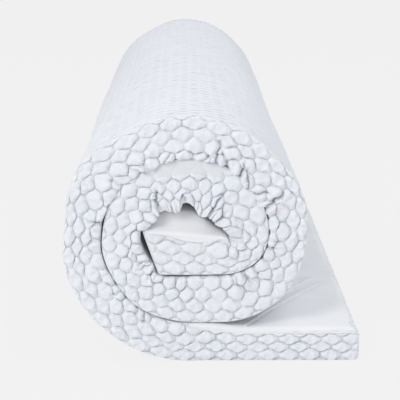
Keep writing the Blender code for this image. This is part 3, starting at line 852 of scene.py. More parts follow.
def creased(along, share):
    """How far the bunched cloth dips into its creases, less how far it swells beside them."""
    rng = np.random.default_rng(23)
    some = [
        [rng.uniform(low, high) for low, high in ((0.15, TAIL_START), (-0.05, 0.05), (0.60, 0.85), (1.5, 3.5))]
        for _ in range(RANDOM_CREASES)
    ]
    dip = np.zeros(share.shape)
    for middle, lean, end, deep in (*CREASES, *some):
        apart = np.abs(along - middle - lean * (1 - share) - 0.0015 * np.sin(share * 31 + 90 * middle))
        near = apart < 0.03
        reach = smooth_step(end - 0.10, end + 0.12, share[near])
        cut = np.exp(-((apart[near] / CREASE_WIDTH) ** 1.5))
        bank = np.exp(-(((apart[near] - BANK_PLACE) / BANK_WIDTH) ** 2))
        dip[near] += 1.25 * deep * MM * reach * (cut - 0.40 * bank)
    return dip


def finer(values):
    """The grid with a new column half way between each two."""
    padded = np.concatenate([values[:1], values, values[-1:]])
    between = (9 * (padded[1:-2] + padded[2:-1]) - padded[:-3] - padded[3:]) / 16
    result = np.empty((2 * len(values) - 1, *values.shape[1:]))
    result[::2] = values
    result[1::2] = between
    return result


def border_grid(quilt, finish):
    """The front border's grid: points, the quilting's own coordinates, what is sewn, share, hem and rise."""
    knit = quilted_knit(finish, quilt)
    u, v, puff, held = quilting(
        CELL_COUNT, BORDER_ROWS, BORDER_LOW_EDGE, BORDER_HIGH_EDGE, quilt.row_height, quilt.border_puff, knit,
        per_row=8, first=FIRST_CELL,
    )
    rise = puff / quilt.border_puff
    cells = u - FIRST_CELL
    along = along_at(cells)
    share = (v - BORDER_LOW_EDGE) / (BORDER_HIGH_EDGE - BORDER_LOW_EDGE)
    bend = bend_at(along)
    # No row is sewn quite straight, and on the inside of a bend the cells are pushed about
    crowd = np.clip(1.8 * bend * smooth_step(0.20, 1.0, share), 0.0, 1.0)
    free = np.sin(math.pi * np.clip(share, 0.0, 1.0)) ** 0.5
    shift = (0.20 + crowd) * free
    hang = hang_at(along)
    along = along + MOST_SHIFT_ALONG * shift * wobble(cells, v * 0.9, 2.2, 11)
    thick = thickness(along)
    overhang = overhang_at(along) * smooth_step(0.62, 1.0, share)
    swing = MOST_SWING * np.sin(math.pi * np.clip(share, 0, 1)) * np.clip(2.5 * bend, 0.1, 1.0)
    depth = 0.0003 + (thick - 0.0006) * share + swing * wobble(cells, 0.3 * v, 5.0, 16)
    depth = depth + MOST_SHIFT_INWARDS * shift * wobble(cells, v, 1.7, 12)
    # On top of the second turn the cloth is pulled inwards, which leaves a strip without cells
    pulled = smooth_step(0.27, 0.34, along) * (1 - smooth_step(0.385, 0.445, along))
    depth = depth + BARE_STRIP * pulled * smooth_step(0.0, 0.08, share) * (1 - smooth_step(0.35, 1.0, share))
    bare = pulled * (1 - smooth_step(0.16, 0.24, share))
    puff = puff * (1 - 0.8 * bare)
    puff = puff * (1 + (0.10 + 0.45 * crowd) * wobble(cells, v * 1.2, 1.6, 13)) * (1 + 0.40 * crowd)
    hem = hem_share(along)
    under = smooth_step(hem - 0.02, hem + 0.03, share)
    puff = puff * (1 - under) * smooth_step(0.0, PUFF_FADE, np.minimum(along, LINE_LENGTH - along))
    # The bare strip and the cloth under the hem, marked below nought, show no thread and take the strip's
    # painted shade
    rise = np.where((bare > 0.35) | (under > 0.5), -0.5, rise)
    # In the tightest fold the cloth is gathered flat
    tight = smooth_step(0.095, 0.125, along) * (1 - smooth_step(0.19, 0.23, along))
    puff = puff * (1 - 0.75 * tight * smooth_step(0.55, 0.80, share))
    out = BORDER_BASE + (0.0004 + 0.0018 * crowd) * wobble(cells, v, 1.3, 14) + 0.6 * overhang
    out = out - rounding(thick * share, OUTER_ROUND) - rounding(thick * (1 - share), INNER_ROUND)
    out = out - rounding(along, INNER_ROUND) - rounding(LINE_LENGTH - along, INNER_ROUND)
    out = np.maximum(out, BORDER_BACK_END + 0.0002)
    out = out - 0.0010 * under
    # The tail's end is rounded, more at the floor
    along = rounded_end(along, depth, thick)
    points = wound(along, depth + hang * smooth_step(0.35, 1.0, share), -(out + puff))
    points[..., 2] = np.maximum(points[..., 2], FLOOR_GAP)
    pressed = np.clip(crowd * 1.1, 0.0, 1.0)
    points = blown_up(points, np.maximum(rise < 0.04, under), pressed)
    points, along, share, u, v, hem, under = (finer(k) for k in (points, along, share, u, v, hem, under))
    held, rise = finer(held) > 0.75, np.clip(finer(rise), -0.5, 1.0)
    dip = creased(along, share) * (1 - np.clip(under, 0.0, 1.0))
    points[..., 1] = np.minimum(points[..., 1] + dip, -BORDER_BACK_END - 0.0001)
    points[..., 2] = np.maximum(points[..., 2], FLOOR_GAP)
    return points, np.stack([u, v], axis=-1), held, share, hem, rise


SIM_FRAMES = 20
# The knit as cloth: light and limp, held by the thread, and up to 55% longer than its place where it's slack
KNIT_AS_CLOTH = {
    "quality": 5, "mass": 0.15, "tension_stiffness": 12.0, "compression_stiffness": 12.0,
    "shear_stiffness": 5.0, "bending_stiffness": 0.1, "vertex_group_mass": "sewn", "pin_stiffness": 1.0,
    "vertex_group_shrink": "slack", "shrink_min": -0.04, "shrink_max": -0.55, "use_pressure": True,
    "uniform_pressure_force": 4.0,
}
SLACK_LEVELS = 20
MOST_MOVE = 0.008
LOOSE_FROM = 0.75


def blown_up(points, flat, pressed):
    """The quilted knit as cloth: sewn down along the thread, and pressed out by the filling behind it.

    Where a bend crowds the cells, the cloth there is longer than its place, so it buckles.
    """
    columns, rows = flat.shape
    index = np.arange(columns * rows).reshape(columns, rows)
    mesh = bpy.data.meshes.new("border cloth")
    mesh.from_pydata(points.reshape(-1, 3).tolist(), [], quads_of(index).tolist())
    mesh.update()
    if sum(face.normal.y for face in mesh.polygons) > 0:
        mesh.flip_normals()
    cloth = bpy.data.objects.new("border cloth", mesh)
    scene = bpy.context.scene
    scene.collection.objects.link(cloth)
    sewn = np.where(pressed > LOOSE_FROM, 0.0, flat)
    sewn[:, :2] = sewn[:, -2:] = 1.0
    sewn[0] = sewn[-1] = 1.0
    pins = cloth.vertex_groups.new(name="sewn")
    slack = cloth.vertex_groups.new(name="slack")
    for number in np.flatnonzero(sewn.ravel() > 0.5).tolist():
        pins.add([number], 1.0, "REPLACE")
    levels = np.round(pressed.ravel() * SLACK_LEVELS).astype(int)
    for level in range(1, SLACK_LEVELS + 1):
        slack.add(np.flatnonzero(levels == level).tolist(), level / SLACK_LEVELS, "REPLACE")
    settings = cloth.modifiers.new("cloth", "CLOTH").settings
    for name, value in KNIT_AS_CLOTH.items():
        setattr(settings, name, value)
    settings.effector_weights.gravity = 0.0
    cache = cloth.modifiers["cloth"].point_cache
    cache.frame_start, cache.frame_end = 1, SIM_FRAMES
    for number in range(1, SIM_FRAMES + 1):
        scene.frame_set(number)
    graph = bpy.context.evaluated_depsgraph_get()
    moved = points_of(cloth.evaluated_get(graph).to_mesh())
    scene.frame_set(1)
    bpy.data.objects.remove(cloth, do_unlink=True)
    move = moved.astype(float).reshape(columns, rows, 3) - points
    length = np.linalg.norm(move, axis=-1, keepdims=True)
    move = move * np.minimum(1.0, MOST_MOVE / np.maximum(length, 1e-9))
    return points + move


def border_back(points):
    """The flat back of a border, between its first and last rows."""
    back = points[:, (0, -1)].copy()
    back[..., 1] = -BORDER_BACK_END
    return back


def held_edges(held, keep):
    """The edges of the grid that lie along the thread, as pairs of vertex numbers."""
    on = (held > 0.5) & keep
    index = np.arange(on.size).reshape(on.shape)
    edges = []
    for low, high in ((np.s_[:-1], np.s_[1:]), (np.s_[:, :-1], np.s_[:, 1:])):
        both = on[high] & on[low]
        edges.append(np.stack([index[low][both], index[high][both]], axis=1))
    return np.concatenate(edges)


def mirrored(mesh, name):
    """The mesh turned over to the far side, with its faces still outwards."""
    copy = mesh.copy()
    copy.name = name
    points = points_of(copy) * np.array((1, -1, 1), np.float32)
    copy.vertices.foreach_set("co", points.ravel())
    copy.flip_normals()
    return copy


def make_borders(context):
    """The two side borders and the thread of their quilting. The rear one is the front one turned over."""
    quilt, finish = context.scene.topper_quilt, context.scene.topper_finishes
    knit = quilted_knit(finish, quilt)
    thread = thread_material(finish)
    points, uv, held, share, hem, rise = border_grid(quilt, finish)
    mesh = closed_grid("front_border", points, border_back(points), uv, knit, rise)
    rear = mirrored(mesh, "rear_border")
    front = new_piece("front_border", mesh, "quilted_knit", "border_front")
    new_piece("rear_border", rear, "quilted_knit", "border_rear")
    keep = (share > 0.045) & (share < np.minimum(hem - 0.01, 0.97))
    keep &= (wobble(uv[..., 0], uv[..., 1], 2.4, 29) > 0.30) & (rise > -0.1)
    sunk = points.copy()
    sunk[..., 1] += 0.0003 * wobble(uv[..., 0], uv[..., 1], 1.5, 19)
    lines = edges_mesh("quilting_thread", sunk.reshape(-1, 3), held_edges(held, keep))
    values = {"Thread Width": quilt.thread_width, "Material": thread}
    made = run_tree(stitch_tree(), values, lines)
    made.name = "front_quilting_thread"
    new_piece("rear_quilting_thread", mirrored(made, "rear_quilting_thread"), "seam_thread")
    new_piece("front_quilting_thread", made, "seam_thread")


def thread_material(finish):
    """Polyester thread: thin, pale blue, slightly shiny."""
    return cloth_material("polyester thread", finish.thread, finish.thread, 0.4, 3, roughness=0.7, sheen=0.3)


PANEL_VALLEY = 0.0036
PANEL_BACK = 0.0059
PANEL_ROWS = 120
PANEL_EDGE_SHARE = 0.27
HIDDEN_CELLS = 26


def make_panel(context):
    """The quilted side. The turns that are hidden inside the roll have fewer faces."""
    quilt, finish = context.scene.topper_quilt, context.scene.topper_finishes
    low, high = PANEL_EDGE_SHARE, PANEL_ROWS - PANEL_EDGE_SHARE
    row_height = 2 * PANEL_END / (high - low)
    # Painted shade: the wide side's grooves take the darker groove tone, and its thread mark is drawn wider
    # than the thread, partly thread and partly painted shade along the grooves
    knit = quilted_knit(
        finish, quilt, "wide quilted polyester knit", row_height, finish.groove, marks=(0.8, 2.0, 0.45), rim_shade=0.0
    )
    sheets = []
    for first, cells, faces in ((0, HIDDEN_CELLS, 4), (HIDDEN_CELLS, CELL_COUNT - HIDDEN_CELLS, 8)):
        u, v, puff, _ = quilting(
            cells, PANEL_ROWS, low, high, row_height, quilt.panel_puff, knit,
            per_cell=faces, per_row=4, first=FIRST_CELL + first, Seed=5 + first, Unevenness=0.12,
            **{"Side Gap": 0.02, "Side Power": 2.6},
        )
        # The two sheets share a column
        sheets.append([values[bool(first) :] for values in (u, v, puff)])
    u, v, puff = (np.concatenate([sheet[k] for sheet in sheets]) for k in range(3))
    cells = u - FIRST_CELL
    y = (v - (low + high) / 2) * row_height
    span = LINE_LENGTH - FOOT_DEPTH - LAYERS_START
    along = LAYERS_START + along_at(cells) * span / LINE_LENGTH
    rise = puff / quilt.panel_puff
    depth = PANEL_VALLEY - puff - 0.0004 * wobble(cells, y / 0.0295, 7.0, 21)
    edge = PANEL_END - np.abs(y)
    depth = depth + (PANEL_VALLEY - 0.002 - depth) * np.exp(-edge / 0.002)
    points = wound(along, depth, y)
    points[..., 2] = np.maximum(points[..., 2], 0.0003)
    few = np.linspace(0, y.shape[1] - 1, 15).round().astype(int)
    back = wound(along[:, few], PANEL_BACK, y[:, few])
    mesh = closed_grid("quilted_cover", points, back, np.stack([u, v], axis=-1), knit, rise)
    cover = new_piece("quilted_cover", mesh, "quilted_knit", "quilted_panel")


# Creases of the plain cloth on the tail: each one's points as metres along and y, its height, and how wide the
# slope behind it is
TAIL_FOLDS = (
    (((1.815, -0.800), (1.8516, -0.7653), (1.9362, -0.6398), (2.012, -0.530)), 0.0050, 0.020),
    (((1.905, -0.650), (1.9409, -0.5824), (1.9597, -0.5543), (1.985, -0.510)), 0.0032, 0.012),
    (((1.950, -0.535), (1.9704, -0.5185), (2.012, -0.4975)), 0.0012, 0.008),
    (((1.945, -0.452), (1.9693, -0.4464), (2.012, -0.438)), 0.0012, 0.008),
    (((1.960, -0.340), (1.9815, -0.3334), (2.012, -0.326)), 0.0010, 0.008),
)


CREST_HEIGHT = 0.0026
CREST_WIDTH = 0.0022
GROOVE_DEPTH = 0.0034
GROOVE_PLACE = 0.0040
GROOVE_WIDTH = 0.0019
FOLD_FALL = 0.045


def folded(along, y):
    """How far the plain cloth on the tail stands up in folds.

    Each is a thin crest with a groove along it, a long fall on one side, and a steep one on the other.
    """
    lift = np.zeros(np.broadcast(along, y).shape)
    for points, height, width in TAIL_FOLDS:
        points = np.array(points)
        apart = along - np.interp(y, points[:, 1], points[:, 0])
        ends = smooth_step(points[0, 1] - 0.02, points[0, 1] + 0.02, y)
        ends = ends * (1 - smooth_step(points[-1, 1] - 0.05, points[-1, 1] + 0.01, y))
        crest = CREST_HEIGHT * np.exp(-((apart / CREST_WIDTH) ** 2))
        groove = GROOVE_DEPTH * np.exp(-(((apart - GROOVE_PLACE) / GROOVE_WIDTH) ** 2))
        swell = np.where(apart > 0, np.exp(-((apart / FOLD_FALL) ** 2)), np.clip(1 + apart / width, 0.0, 1.0))
        lift = lift + ends * (crest - groove + height * swell * smooth_step(0.0, 0.06, 0.752 - np.abs(y)))
    return lift


PLAIN_EDGE = 0.7560
PLAIN_EDGE_ROUND = 0.003
LAP_OUT = 0.0056


def plain_sheet_grid():
    """The plain side's outer surface, with its cloth lapped over the slab's long edges."""
    start, end, fine_start = LAYERS_START - 0.004, LINE_LENGTH - FOOT_DEPTH + 0.004, TAIL_START + 0.02
    # Columns lie closer together in the tail, and rows at its front edge
    along = np.concatenate([
        np.linspace(start, 0.12, 49)[:-1],
        np.linspace(0.12, fine_start, 212)[:-1],
        np.linspace(fine_start, end, 140),
    ])
    tongue = np.clip(np.interp(along, *zip(*TONGUE_HEMS)) / 0.08, 0.0, 1.0)
    tail = smooth_step(TAIL_START - TAIL_HEM_START, TAIL_START + TAIL_HEM_START, along)
    lapped = np.maximum(tongue, tail)
    thick = thickness(along)
    hang = hang_at(along)
    edge_hang = np.where(along > 0.9, np.minimum(hang, 0.0008), hang - 0.0008 * (1 - lapped))
    # Behind the front edges the turns sink further into the roll's hollow core
    bulk = np.interp(along, *zip(*CORE_FILL)) * MM
    radius = PLAIN_EDGE_ROUND + PLAIN_EDGE_ROUND * lapped
    lap_y = PLAIN_EDGE + LAP_OUT * lapped
    start = np.minimum(hem_share(along) * thick, thick - radius) + edge_hang * lapped
    inner = np.concatenate([
        np.linspace(-0.750, -0.470, 93)[:-1],
        np.linspace(-0.470, 0.705, 100)[:-1],
        np.linspace(0.705, 0.750, 16),
    ])
    ys, depths = [], []
    for share in np.linspace(0.0, 1.0, 7)[:-1]:
        waver = 0.0010 * lapped * wobble(along / 0.02, share * 1.2, 1.0, 33) * math.sin(math.pi * share)
        ys.append(-lap_y - waver)
        depths.append(start + (thick + edge_hang - radius - start) * share)
    for angle in np.linspace(0.0, math.pi / 2, 6)[:-1]:
        ys.append(-(lap_y - radius + radius * math.cos(angle)))
        depths.append(thick + edge_hang - radius + radius * math.sin(angle))
    for y in inner:
        ys.append(np.full(along.shape, y))
        fold = 1 + 0.10 * wobble(along / SLAB_THICKNESS, y / SLAB_THICKNESS, 1.6, 31)
        inside = smooth_step(-0.006, 0.110 - 0.090 * tongue, 0.752 - abs(y))
        depth = thick + edge_hang * (1 - inside) + bulk * fold * inside
        folds = folded(along, np.full(along.shape, y))
        depths.append(depth + folds + 0.0004 * tail * wobble(along / 0.1, y / 0.1, 0.9, 35))
    for angle in np.linspace(math.pi / 2, 0.0, 6)[1:]:
        ys.append(lap_y - radius + radius * math.cos(angle))
        depths.append(thick + edge_hang - radius + radius * math.sin(angle))
    for share in np.linspace(1.0, 0.0, 7)[1:]:
        ys.append(lap_y + 0 * along)
        depths.append(start + (thick + edge_hang - radius - start) * share)
    y = np.stack(ys, axis=1)
    depth = np.stack(depths, axis=1)
    along = np.broadcast_to(along[:, None], y.shape)
    thick = thick[:, None]
    fall = rounding(LINE_LENGTH - 0.0025 - along, TAIL_END_ROUND)
    return along, np.where(depth > thick - 0.0005, depth - fall, np.minimum(depth, thick - fall)), y


# How far the turns fill the hollow core behind the front edges: length along, and millimetres
CORE_FILL = (
    (0.0, 2.0), (0.01, 15.0), (0.02, 23.0), (0.03, 26.0), (0.05, 28.0), (0.06, 29.0), (0.07, 22.0),
    (0.08, 12.5), (0.09, 6.0), (0.1, 2.5), (0.11, 1.0), (0.2, 1.0), (0.232, 2.0), (0.278, 3.0),
    (0.322, 6.0), (0.356, 12.0), (0.39, 10.0), (0.428, 3.0), (0.458, 1.5), (0.485, 2.0), (0.515, 1.0),
    (0.54, 0.0), (0.6, 3.0), (0.62, 5.0), (0.64, 3.0), (0.66, 2.5), (0.69, 6.0), (0.78, 3.5),
    (0.85, 1.5), (0.9, 0.0), (2.022, 0.0),
)


def make_plain(context):
    """The smooth side of the cover, inside in the roll and on top of the tail."""
    knit = plain_material(context.scene.topper_finishes)
    along, depth, y = plain_sheet_grid()
    outer = wound(along, depth, y)
    ends = (0, -1)
    back = wound(along[:, ends], depth[:, ends], y[:, ends] - 0.0010 * np.sign(y[:, ends]))
    mesh = closed_grid("plain_cover", outer, back, None, knit)
    cover = new_piece("plain_cover", mesh, "plain_knit", "plain_panel")


def plain_material(finish):
    """Smooth circular-knit polyester: matt, nearly white, with fine loops and no quilting."""
    return cloth_material("plain polyester knit", finish.plain, linear("#ECEEF2"), 1.0, 14, 0.92, 0.1)


def foam_depth(along):
    """The foam's inner side, drawn back where the cover's edge is pulled in."""
    return thickness(along) - 0.0024 + np.minimum(hang_at(along), 0.0)


def make_inside(context):
    """The layers between the two sides, each a smooth sheet wound with the roll."""
    # Open-celled viscoelastic foam: matt, a little yellow, with fine pores
    foam = cloth_material(
        "memory foam", context.scene.topper_finishes.foam, linear("#E8E0C4"), 0.9, 6, 0.95, 0.0
    )
    # Carded polyester fibre: white, lofty, with a soft fuzz
    fibre = cloth_material("polyester fibre filling", linear("#F4F4F4"), linear("#ECEDEE"), 2.2, 8, 0.95, 0.3)
    # Spun-bonded cloth: thin, white and papery
    gauze = cloth_material("non-woven backing", linear("#EDEDED"), linear("#E6E7E8"), 0.8, 5, 0.9, 0.1)
    along = np.linspace(LAYERS_START, LINE_LENGTH - FOAM_FOOT_DEPTH, 360)[:, None]
    # Each layer's name, node, slot, outer and inner depth, half its width, its filling and its material
    for name, node, slot, outer, inner, half, fill, material in (
        ("foam_core", "foam_slab", "memory_foam", FOAM_DEPTH, foam_depth(along), 0.7520, 1.0, foam),
        ("fibre_filling", "quilt_wadding", "fibre_wadding", 0.0061, 0.0064, 0.7500, 0.4, fibre),
        ("quilt_backing_cloth", "quilt_backing", "backing_cloth", 0.0066, 0.0070, 0.7500, 0.2, gauze),
    ):
        y = np.linspace(-half, half, 5)[None, :]
        mesh = closed_grid(name, wound(along, outer, y), wound(along, inner, y), None, material)
        new_piece(name, mesh, slot, node)


END_PUFF = 0.0024


def end_quilting(context, rows, low, high, seed):
    """Quilting as long as an end of the slab: its knit, its own coordinates, y, the share across, and puffs."""
    quilt = context.scene.topper_quilt
    knit = quilted_knit(context.scene.topper_finishes, quilt)
    count = round(2 * SLAB_END / CELL_PITCH * CELLS_PER_STEP) / CELLS_PER_STEP
    u, v, puff, _ = quilting(count, rows, low, high, quilt.row_height, END_PUFF, knit, Seed=seed)
    y = -SLAB_END + u / count * 2 * SLAB_END
    puff = puff * smooth_step(0.0, PUFF_FADE, SLAB_END - np.abs(y))
    return knit, np.stack([u, v], axis=-1), y, (v - low) / (high - low), puff


def make_head(context):
    """The strip across the tongue's end."""
    knit, uv, y, share, puff = end_quilting(context, BORDER_ROWS, BORDER_LOW_EDGE, BORDER_HIGH_EDGE, 9)
    thick = float(thickness(0.0))
    depth = 0.0006 + (thick - 0.0012) * share
    along = 0.0030 - puff + rounding(depth, INNER_ROUND) * 0.7 + rounding(thick - depth, INNER_ROUND) * 0.7
    points = wound(np.clip(along, 0.0002, 0.0058), depth, y)
    back = wound(np.full((len(y), 2), 0.0060), depth[:, (0, -1)], y[:, (0, -1)])
    mesh = closed_grid("head_strip", points, back, uv, knit, puff / END_PUFF)
    new_piece("head_strip", mesh, "quilted_knit", "border_head")


def make_foot(context):
    """The strips across the tail's end, above and below the zip."""
    strips = (
        ("foot_strip_upper", "border_foot_upper", ZIP_HEIGHT + ZIP_OPENING / 2, SLAB_THICKNESS - 0.0005, 2),
        ("foot_strip_lower", "border_foot_lower", 0.0005, ZIP_HEIGHT - ZIP_OPENING / 2, 1),
    )
    for name, node, bottom, top, rows in strips:
        knit, uv, y, share, puff = end_quilting(context, rows + 2, 0.8, rows + 1.2, rows)
        z = bottom + (top - bottom) * share
        # The corner at the plain side and the one at the floor are round, and the zip's edges are turned in
        fall = rounding(z, FLOOR_ROUND) + rounding(SLAB_THICKNESS - z, TAIL_END_ROUND)
        fall = fall + 0.6 * rounding(np.abs(z - ZIP_HEIGHT) - ZIP_OPENING / 2, 0.003)
        x = FOOT_X - 0.0025 + puff * (1 - 0.5 * smooth_step(0.002, 0.008, fall)) - fall
        points = np.stack([x, y, z], axis=-1)
        back = points[:, np.linspace(0, y.shape[1] - 1, 7).round().astype(int)].copy()
        back[..., 0] = np.minimum(FOOT_X - 0.0069, back[..., 0] - 0.0016)
        mesh = closed_grid(name, points, back, uv, knit, puff / END_PUFF)
        new_piece(name, mesh, "quilted_knit", node)


SEAM_STEP = 0.0012
SEAM_DEPTH = 0.0019
SEAM_Y = 0.7529


def make_seams(context):
    """The overlock stitches in the groove between each side border and the quilted side."""
    thread = thread_material(context.scene.topper_finishes)
    along = np.arange(LAYERS_START, LINE_LENGTH - FOOT_DEPTH, SEAM_STEP)
    sway = np.where(np.arange(len(along)) % 2, 1.0, -1.0)
    line = wound(along, SEAM_DEPTH + 0.0003 * sway, -SEAM_Y + 0.0006 * sway)
    edges = [(i, i + 1) for i in range(len(along) - 1)]
    lines = edges_mesh("seam", line, edges)
    values = {"Stitch Length": 0.0019, "Stitch Step": 0.0014, "Thread Width": 0.0009, "Material": thread}
    made = run_tree(stitch_tree(), values, lines)
    made.name = "front_seam"
    rear = mirrored(made, "rear_seam")
    new_piece("front_seam", made, "seam_thread", "seam_front")
    new_piece("rear_seam", rear, "seam_thread", "seam_rear")


def make_zip_ends(context):
    """The knit that closes the cover past each end of the zip."""
    knit = plain_material(context.scene.topper_finishes)
    half = ZIP_OPENING / 2 + 0.0006
    z = ZIP_HEIGHT + np.linspace(-half, half, 9)
    reach = np.linspace(0.0, 0.0125, 9)
    arch = np.sin(math.pi * np.linspace(0, 1, 9))
    x = FOOT_X - 0.0040 - 0.0022 * smooth_step(0.009, 0.0125, reach)[:, None] + 0.0007 * arch[:, None] * arch
    for name, side in (("zip_end_front", -1), ("zip_end_rear", 1)):
        y = side * (SLAB_END - reach)[:, None]
        points = np.stack(np.broadcast_arrays(x, y, z), axis=-1)
        back = points[:, (0, -1)].copy()
        back[..., 0] = FOOT_X - 0.0066
        new_piece(name, closed_grid(name, points, back, None, knit), "plain_knit")


TOOTH_PITCH = 0.0013
TOOTH_REACH = 0.0002


def node_box(node):
    """The lowest and highest corners of a CAD node."""
    corners = np.array([node.matrix_world @ vertex.co for vertex in node.data.vertices])
    return corners.min(axis=0), corners.max(axis=0)


def make_zip(context):
    """The zip's teeth, the knit past its ends, and the looks of its tapes, stops, slider and pull."""
    metal = metal_material(context.scene.topper_finishes)
    # Woven polyester: dense, flat and a little grey
    tape = cloth_material("woven polyester tape", linear("#E9EBEE"), linear("#E2E5E9"), 0.6, 4, 0.85, 0.1)
    # Extruded nylon wire: smooth, with a soft shine
    nylon = cloth_material("nylon monofilament", linear("#EDEFF1"), linear("#E6E8EA"), 0.8, 5, 0.4, 0.0)
    nodes = frame["nodes"]
    for side, shift, away in (("upper", 0.0, -1), ("lower", TOOTH_PITCH / 2, 1)):
        low, high = node_box(nodes["zip_coil_" + side])
        middle = (low + high) / 2
        middle[2] += TOOTH_REACH / 2 * away
        ys = np.arange(low[1] + 0.001 + shift, high[1] - 0.001, TOOTH_PITCH)
        points = np.stack([np.full(len(ys), middle[0]), ys, np.full(len(ys), middle[2])], axis=1)
        values = {"Width": high[2] - low[2] + TOOTH_REACH, "Thickness": high[0] - low[0], "Wire": 0.0007}
        places = edges_mesh("zip_teeth_" + side, points, [])
        teeth = run_tree(teeth_tree(), {**values, "Material": nylon}, places)
        new_piece("zip_teeth_" + side, teeth, "nylon_coil", "zip_coil_" + side)
    make_zip_ends(context)
    finishes = {"tape_upper": tape, "tape_lower": tape, "stop_front": nylon, "stop_rear": nylon}
    for name, material in {**finishes, "slider": metal, "pull": metal}.items():
        materials = nodes["zip_" + name].data.materials
        materials.clear()
        materials.append(material)


# The studio


CAMERA_PLACE = (-0.037, -2.479, 0.628)
CAMERA_PITCH = 12.93
CAMERA_YAW = 0.668
CAMERA_LENS = 115.7
SKY_COLOUR = (0.975, 0.987, 1.0, 1)
LAMPS_AIM = (0.0, 0.0, 0.15)
# Each lamp's name, place, size, share of the key lamp's power, and colour
LAMPS = (
    ("key", (-1.9, -3.1, 2.1), 1.4, 1.00, (1.0, 0.99, 0.98)),
    ("right", (1.6, -0.6, 2.6), 2.4, 0.56, (0.98, 0.99, 1.0)),
    ("left", (-2.2, 0.8, 2.4), 2.4, 0.16, (0.98, 0.99, 1.0)),
)


def background_seen(tree):
    """1 where the camera, a gloss or a glass sees the surface, and 0 for the light that it gives."""
    path = add_node(tree, "ShaderNodeLightPath").outputs
    seen = add_node(tree, "MAXIMUM", path["Is Camera Ray"], path["Is Glossy Ray"])
    return add_node(tree, "MAXIMUM", seen, path["Is Transmission Ray"])


def make_stage(context):
    """The camera, the sky, the lamps and the floor, which the camera sees as an even background."""
    studio, scene = context.scene.topper_studio, context.scene
    scene.view_settings.view_transform = "Standard"
    camera = bpy.data.objects.new("camera", bpy.data.cameras.new("camera"))
    scene.collection.objects.link(camera)
    camera.data.lens = CAMERA_LENS
    camera.data.sensor_width = 36.0
    camera.location = CAMERA_PLACE
    camera.rotation_euler = (math.radians(90 - CAMERA_PITCH), 0.0, -math.radians(CAMERA_YAW))
    scene.camera = camera
    background = (*studio.background, 1)
    scene.world = bpy.data.worlds.new("studio")
    scene.world.use_nodes = True
    tree = scene.world.node_tree
    tree.nodes.clear()
    lit, shown = (
        add_node(tree, "ShaderNodeBackground", {"Color": colour, "Strength": level})
        for colour, level in ((SKY_COLOUR, studio.sky_level), (background, 1.0))
    )
    mixed = add_node(tree, "ShaderNodeMixShader", background_seen(tree), lit, shown)
    add_node(tree, "ShaderNodeOutputWorld", {"Surface": mixed})
    for name, place, size, share, colour in LAMPS:
        light = bpy.data.lights.new(name, "AREA")
        light.size, light.energy, light.color = size, share * studio.key_level, colour
        lamp = bpy.data.objects.new(name, light)
        scene.collection.objects.link(lamp)
        lamp.location = place
        aim = np.array(LAMPS_AIM) - np.array(place)
        lean = math.atan2(math.hypot(aim[0], aim[1]), -aim[2])
        lamp.rotation_euler = (lean, 0.0, math.atan2(aim[0], -aim[1]) + math.pi)
    mesh = bpy.data.meshes.new("floor")
    mesh.from_pydata([(-30, -30, 0), (30, -30, 0), (30, 30, 0), (-30, 30, 0)], [], [(0, 1, 2, 3)])
    floor = bpy.data.objects.new("floor", mesh)
    scene.collection.objects.link(floor)
    # Matt paint, which the camera sees as nearly even light
    material, tree, shader = new_material("painted studio floor")
    set_inputs(tree, shader, {"Roughness": 0.9, "Base Color": background})
    glow = add_node(tree, "ShaderNodeEmission", {"Color": background, "Strength": 1.0})
    share = add_node(tree, "MULTIPLY", background_seen(tree), 0.95)
    mixed = add_node(tree, "ShaderNodeMixShader", share, shader, glow)
    set_inputs(tree, tree.nodes["Material Output"], {"Surface": mixed})
    mesh.materials.append(material)


# Operators, panel and registration


class TOPPER_OT_borders(bpy.types.Operator):
    """Builds the two quilted side borders and their thread"""

    bl_idname = "topper.borders"
    bl_label = "Side borders"

    def execute(self, context):
        make_borders(context)
        return {"FINISHED"}


class TOPPER_OT_panel(bpy.types.Operator):
    """Builds the quilted side of the cover"""

    bl_idname = "topper.panel"
    bl_label = "Quilted side"

    def execute(self, context):
        make_panel(context)
        return {"FINISHED"}


class TOPPER_OT_plain(bpy.types.Operator):
    """Builds the plain side of the cover, lapped over the slab's edges"""

    bl_idname = "topper.plain"
    bl_label = "Plain side"

    def execute(self, context):
        make_plain(context)
        return {"FINISHED"}


class TOPPER_OT_inside(bpy.types.Operator):
    """Builds the foam, the fibre filling and the backing cloth"""

    bl_idname = "topper.inside"
    bl_label = "Foam and filling"

    def execute(self, context):
        make_inside(context)
        return {"FINISHED"}


class TOPPER_OT_ends(bpy.types.Operator):
    """Builds the quilted strips across the two ends"""

    bl_idname = "topper.ends"
    bl_label = "End strips"

    def execute(self, context):
        make_head(context)
        make_foot(context)
        return {"FINISHED"}


class TOPPER_OT_seams(bpy.types.Operator):
    """Builds the overlock seams along the two long edges"""

    bl_idname = "topper.seams"
    bl_label = "Seams"

    def execute(self, context):
        make_seams(context)
        return {"FINISHED"}


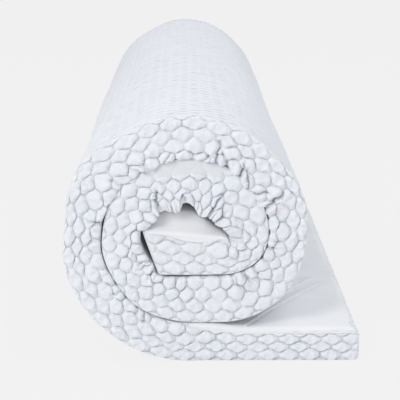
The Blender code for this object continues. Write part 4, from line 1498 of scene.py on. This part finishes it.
class TOPPER_OT_zip(bpy.types.Operator):
    """Builds the zip's teeth and the knit past its ends, and finishes its tapes, stops, slider and pull"""

    bl_idname = "topper.zip"
    bl_label = "Zip"

    def execute(self, context):
        make_zip(context)
        return {"FINISHED"}


class TOPPER_OT_stage(bpy.types.Operator):
    """Builds the floor, the lights and the camera"""

    bl_idname = "topper.stage"
    bl_label = "Studio"

    def execute(self, context):
        make_stage(context)
        return {"FINISHED"}


OPERATORS = (
    TOPPER_OT_stage,
    TOPPER_OT_borders,
    TOPPER_OT_panel,
    TOPPER_OT_plain,
    TOPPER_OT_inside,
    TOPPER_OT_ends,
    TOPPER_OT_seams,
    TOPPER_OT_zip,
)


class TOPPER_PT_panel(bpy.types.Panel):
    """Lists the topper's sizes, colours and steps"""

    bl_idname = "TOPPER_PT_panel"
    bl_label = "Rolled topper"
    bl_space_type = "VIEW_3D"
    bl_region_type = "UI"
    bl_category = "Topper"

    def draw(self, context):
        for group in (context.scene.topper_quilt, context.scene.topper_finishes, context.scene.topper_studio):
            box = self.layout.box()
            for name in group.__annotations__:
                box.prop(group, name)
        for operator in OPERATORS:
            self.layout.operator(operator.bl_idname)


GROUPS = {"topper_quilt": QuiltSizes, "topper_finishes": Finishes, "topper_studio": StudioSettings}


def register():
    for name, group in GROUPS.items():
        bpy.utils.register_class(group)
        setattr(bpy.types.Scene, name, bpy.props.PointerProperty(type=group))
    for kind in (*OPERATORS, TOPPER_PT_panel):
        bpy.utils.register_class(kind)


def unregister():
    for kind in reversed((*OPERATORS, TOPPER_PT_panel)):
        bpy.utils.unregister_class(kind)
    for name, group in GROUPS.items():
        delattr(bpy.types.Scene, name)
        bpy.utils.unregister_class(group)


def clear_start_scene():
    """Removes what a new scene starts with."""
    for name in ("Cube", "Light", "Camera"):
        if name in bpy.data.objects:
            bpy.data.objects.remove(bpy.data.objects[name], do_unlink=True)


def main():
    clear_start_scene()
    register()
    for operator in OPERATORS:
        group, name = operator.bl_idname.split(".")
        getattr(getattr(bpy.ops, group), name)()


if __name__ == "__main__":
    main()
